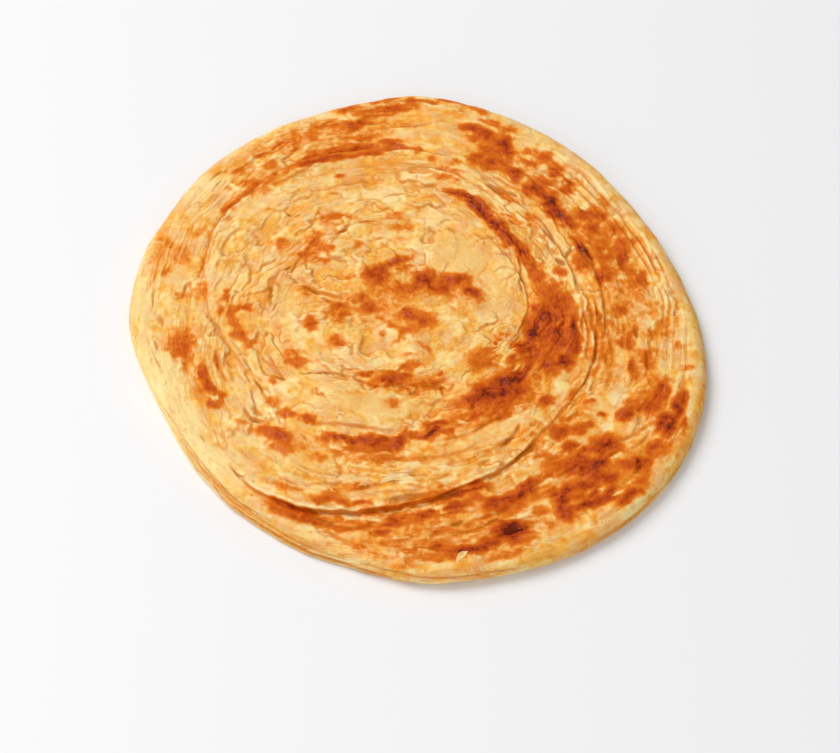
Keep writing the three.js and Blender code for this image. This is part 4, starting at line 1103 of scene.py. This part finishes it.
def dough_material(settings, name="toasted_dough", translucence=0.45):
    n = Nodes(name)
    mm = n.millimetres()
    flow = n.attribute("flow", "Vector")
    toast, heat, butter, pale, pleats, crease, lip, gap = (n.attribute(layer) for layer in LAYERS)

    grit = n.noise(mm, 1 / 0.5, 2, 0.5)
    fine = n.noise(mm, 1 / 1.1, 3, 0.6)
    freckle = n.noise(mm, 1 / 1.7, 2, 0.5)
    mottle = n.noise(mm, 1 / 3.4, 2, 0.5, 0.6)
    dull = n.noise(mm, 1 / 6.3, 3, 0.55, 0.5)
    patch = n.noise(mm, 1 / 10, 3, 0.5, 0.8)
    streak = n.noise(flow, 1, 3, 0.5, 0.5)
    band = n.noise(flow, 0.45, 2, 0.5, 0.4)
    hair = n.noise(flow, 3.1, 3, 0.6)

    # Valleys of the skin's relief are amber, partly oil and partly painted shade, and ridges pale and dry, in
    # bands that follow the coil.
    bands = band.about(1) + mottle.about(0.65) + freckle.about(0.3) + streak.about(0.3 + 0.4 * pleats)
    dough = n.ramp(0.5 + bands + patch.about(1) + fine.about(0.15), (
        (0.15, settings.cream), (0.4, settings.straw), (0.56, settings.gold), (0.78, settings.amber),
    ))
    # Each coat: where it lies, from where to where it thickens, its strength and its colour.
    coats = (
        (dull, 0.46, 0.64, 0.6, settings.tan),
        (butter * (0.5 + streak), 0.1, 0.9, 0.7, settings.butter),
        (pale * (0.5 + mottle), 0.15, 0.95, 0.8, settings.cream),
        # The next two coats are a painted highlight, as on dry edges, and painted shade, brown as with oil,
        # in the creases.
        (lip * (0.4 + hair), 0.1, 0.9, 0.8, settings.flake),
        (crease * (0.5 + streak), 0.12, 0.85, 0.85, settings.crevice_oil_and_shade),
    )
    for cover, low, high, strength, coat in coats:
        dough = n.mix(cover.between(low, high) * strength, dough, coat)

    # Hairlines: fine edges of sheets, with a painted highlight on one side and painted shade on the other.
    edge = n.noise(flow, 1.5, 2, 0.5, 0.8) - 0.5
    shown = (patch + 0.6 * pleats).between(0.42, 0.6)
    painted_highlight_line = (1 - abs(edge + 0.012).between(0, 0.016)) * shown
    painted_shade_line = (1 - abs(edge - 0.008).between(0, 0.014)) * shown
    dough = n.mix(painted_highlight_line * 0.5, dough, settings.flake)
    dough = n.mix(painted_shade_line * 0.6, dough, settings.crevice_oil_and_shade)

    # The griddle's orange blush, and the browned marks: soft at the edge, mottled and darkest in the middle.
    spots = mottle.about(1.05) + freckle.about(0.6) + fine.about(0.15) + streak.about(0.35)
    blushed = (heat * (1.1 - 0.7 * butter) + spots).between(0.05, 0.9)
    dough = n.mix(blushed * 0.85, dough, settings.blush)
    # Creases and the dark hairlines darken the marks a little as painted shade, and the painted highlights on
    # edges lighten them.
    browned = (
        toast * (0.96 + fine.about(0.25) + hair.about(0.1)) + heat * (0.14 + 0.3 * freckle.between(0.54, 0.7))
        + 0.5 * spots + 0.12 * crease - 0.14 * lip + 0.1 * painted_shade_line
    )
    crust = n.ramp(0.96 * browned, (
        (0.16, settings.blush), (0.46, settings.toast), (0.7, settings.brown_toast),
        (0.9, settings.dark_toast), (1.0, settings.char),
    ))
    colour = n.mix(browned.between(0.04, 0.5), dough, crust)
    # Painted shade, brown as with oil, at the bottoms of the open gaps.
    colour = n.mix((gap * (0.5 + hair)).between(0.1, 0.85) * 0.9, colour, settings.gap)

    specks = n.add("ShaderNodeTexVoronoi", {"feature": "F1"}, {"Vector": mm, "Scale": 1 / 11})
    colour = n.mix((1 - specks.between(0.02, 0.045)) * 0.6, colour, settings.dark_toast)

    # Painted glints of oil, as if catching the light, where the crust is darkest.
    painted_oil_glints = (0.8 * grit + 0.2 * fine).between(0.62, 0.7) * toast.between(0.6, 0.95)
    colour = n.mix(painted_oil_glints * 0.45, colour, settings.tan)

    shine = (0.7 * grit + 0.3 * streak + 0.06 * toast).between(0.58, 0.7) * 0.5 + 0.12 * butter
    skin = 0.35 * fine + 0.16 * grit + 0.2 * freckle - 0.45 * mottle
    lines = (0.4 * streak + 0.25 * hair) * (0.55 + 0.45 * pleats) * (1 - 0.7 * pale)
    relief = skin + 0.1 * painted_highlight_line - 0.2 * painted_shade_line - lines
    bump = {"Strength": settings.bump, "Distance": SKIN_RELIEF * MM, "Height": relief}
    return n.finish(
        Base_Color=colour,
        Roughness=0.48 - 0.12 * butter + fine.about(0.3),
        Normal=n.add("ShaderNodeBump", {}, bump),
        Coat_Weight=shine,
        Coat_Roughness=0.25,
        Specular_IOR_Level=0.08,
        Subsurface_Weight=translucence,
        Subsurface_Radius=(1.0, 0.45, 0.15),
        Subsurface_Scale=LIGHT_DEPTH * MM,
    )


def plain_material(name, colour, roughness):
    n = Nodes(name)
    return n.finish(Base_Color=(*colour[:3], 1), Roughness=roughness)


def wear(obj, material):
    obj.data.materials.clear()
    obj.data.materials.append(material)


# ---------------------------------------------------------------- the add-on

# The stage, in metres.
FLOOR_SIZE = 10
LIGHT_SIZE = 1.4
KEY_PLACE = (-1.15, 0.8, 1.85)
FILL_PLACE = (-0.35, -1.3, 0.9)
CAMERA_AIM = (0.00136, -0.01879, 0)
SENSOR_WIDTH = 36  # in millimetres, as the lens


def length(name, default, description):
    return bpy.props.FloatProperty(name=name, description=description, default=default, unit="LENGTH", min=0)


def screen_colour(name, description, red, green, blue):
    return bpy.props.FloatVectorProperty(
        name=name, description=description, default=from_screen(red, green, blue), subtype="COLOR", size=3)


class BreadSettings(bpy.types.PropertyGroup):
    rope_height: length("Rope height", 6.9 * MM, "Height of the outermost turn's crown")
    dome_height: length("Dome height", 1.3 * MM, "How much the middle stands above the rope")
    flakiness: bpy.props.FloatProperty(
        name="Flakiness", description="Strength of the fine layers and blisters", default=1.0, min=0, max=2)
    bump: bpy.props.FloatProperty(
        name="Skin", description="Strength of the skin's finest relief", default=0.7, min=0, max=1)
    cream: screen_colour("Cream dough", "Least cooked dough", 255, 226, 160)
    straw: screen_colour("Straw dough", "Pale dough", 253, 207, 126)
    gold: screen_colour("Golden dough", "Most of the dough", 248, 187, 87)
    amber: screen_colour("Amber dough", "Dough where it is thin and oily", 241, 159, 57)
    # This colour also paints the glints of oil on the crust.
    tan: screen_colour("Tan dough", "Dull patches of dough", 237, 188, 134)
    butter: screen_colour("Buttered dough", "Smooth, oily layers", 241, 196, 117)
    # This colour is also the painted highlight on edges and ridges.
    flake: screen_colour("Flake edges", "Dry edges of the layers", 255, 230, 172)
    # This colour is also painted shade in creases, grooves and along the dark hairlines.
    crevice_oil_and_shade: screen_colour("Crevices", "Oily gaps between layers", 214, 124, 28)
    # This colour is partly oil and partly painted shade at the bottoms of the open gaps.
    gap: screen_colour("Open gaps", "Bottoms of the open gaps between layers", 184, 100, 2)
    blush: screen_colour("Blush", "Orange round and between the griddle's marks", 248, 158, 44)
    toast: screen_colour("Toast", "The griddle's marks", 224, 121, 22)
    brown_toast: screen_colour("Brown toast", "The middle of most marks", 203, 87, 10)
    dark_toast: screen_colour("Dark toast", "The middle of the stronger marks", 168, 58, 5)
    char: screen_colour("Char", "The darkest spots", 112, 33, 9)


class StageSettings(bpy.types.PropertyGroup):
    floor_colour: screen_colour("Floor", "The plain floor", 240, 240, 241)
    key_power: bpy.props.FloatProperty(
        name="Key light", description="Power of the large light at the back left", default=37.6, min=0,
        unit="POWER")
    fill_power: bpy.props.FloatProperty(
        name="Fill light", description="Power of the light at the front", default=7.5, min=0, unit="POWER")
    sky: bpy.props.FloatProperty(
        name="Sky", description="Strength of the light from all round", default=0.4, min=0)
    camera_distance: length("Camera distance", 0.8, "From the aim point to the camera")
    camera_elevation: bpy.props.FloatProperty(
        name="Camera elevation", description="How far the camera looks down", default=math.radians(56),
        subtype="ANGLE")
    lens: bpy.props.FloatProperty(
        name="Lens", description="Focal length in millimetres", default=104.571, subtype="DISTANCE_CAMERA")


class FLATBREAD_OT_bread(bpy.types.Operator):
    """Build the bread itself"""
    bl_idname = "flatbread.bread"
    bl_label = "Bread"

    def execute(self, context):
        settings = context.scene.flatbread
        bread = make_bread(settings)
        wear(bread, dough_material(settings))
        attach(bread, "root")
        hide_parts("paratha")
        return {"FINISHED"}


class FLATBREAD_OT_flakes(bpy.types.Operator):
    """Lay the loose flakes on the bread"""
    bl_idname = "flatbread.flakes"
    bl_label = "Flakes"

    def execute(self, context):
        flakes = make_flakes(bpy.data.objects["bread"])
        wear(flakes, dough_material(context.scene.flatbread, "dry_flake", translucence=0))
        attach(flakes, "root")
        return {"FINISHED"}


class FLATBREAD_OT_stage(bpy.types.Operator):
    """Build the floor, the lights and the camera"""
    bl_idname = "flatbread.stage"
    bl_label = "Stage"

    def execute(self, context):
        settings = context.scene.flatbread_stage
        deselect_all()
        bpy.ops.mesh.primitive_plane_add(size=FLOOR_SIZE)
        floor = context.object
        floor.name = floor.data.name = "floor"
        wear(floor, plain_material("pale_floor", settings.floor_colour, 0.5))
        self.add_light(context, "key", settings.key_power, KEY_PLACE)
        self.add_light(context, "fill", settings.fill_power, FILL_PLACE)
        world = bpy.data.worlds.new("studio")
        world.use_nodes = True
        background = world.node_tree.nodes["Background"]
        background.inputs["Color"].default_value = (1, 1, 1, 1)
        background.inputs["Strength"].default_value = settings.sky
        context.scene.world = world
        context.scene.view_settings.view_transform = "Standard"
        self.add_camera(context, settings)
        return {"FINISHED"}

    def add_light(self, context, name, power, place):
        light = bpy.data.lights.new(name, "AREA")
        light.energy = power
        light.size = LIGHT_SIZE
        lamp = bpy.data.objects.new(name, light)
        context.collection.objects.link(lamp)
        lamp.location = place
        lamp.rotation_euler = (-Vector(place)).to_track_quat("-Z", "Y").to_euler()

    def add_camera(self, context, settings):
        camera = bpy.data.objects.new("camera", bpy.data.cameras.new("camera"))
        context.collection.objects.link(camera)
        down = settings.camera_elevation
        back = Vector((0, -math.cos(down), math.sin(down)))
        camera.location = Vector(CAMERA_AIM) + settings.camera_distance * back
        camera.rotation_euler = (math.pi / 2 - down, 0, 0)
        camera.data.sensor_width = SENSOR_WIDTH
        camera.data.lens = settings.lens
        context.scene.camera = camera


class FLATBREAD_PT_panel(bpy.types.Panel):
    """Lists the steps that build the flatbread"""
    bl_idname = "FLATBREAD_PT_panel"
    bl_label = "Flatbread"
    bl_space_type = "VIEW_3D"
    bl_region_type = "UI"
    bl_category = "Flatbread"

    def draw(self, context):
        groups = (
            (context.scene.flatbread, ("bread", "flakes")),
            (context.scene.flatbread_stage, ("stage",)),
        )
        for group, operators in groups:
            box = self.layout.box()
            for name in group.bl_rna.properties.keys():
                if name not in ("rna_type", "name"):
                    box.prop(group, name)
            for operator in operators:
                box.operator("flatbread." + operator)


CLASSES = (
    BreadSettings, StageSettings,
    FLATBREAD_OT_bread, FLATBREAD_OT_flakes, FLATBREAD_OT_stage, FLATBREAD_PT_panel,
)


def register():
    for cls in CLASSES:
        bpy.utils.register_class(cls)
    bpy.types.Scene.flatbread = bpy.props.PointerProperty(type=BreadSettings)
    bpy.types.Scene.flatbread_stage = bpy.props.PointerProperty(type=StageSettings)


def unregister():
    del bpy.types.Scene.flatbread_stage
    del bpy.types.Scene.flatbread
    for cls in reversed(CLASSES):
        bpy.utils.unregister_class(cls)


def main():
    register()
    bpy.ops.flatbread.bread()
    bpy.ops.flatbread.flakes()
    bpy.ops.flatbread.stage()


if __name__ == "__main__":
    main()
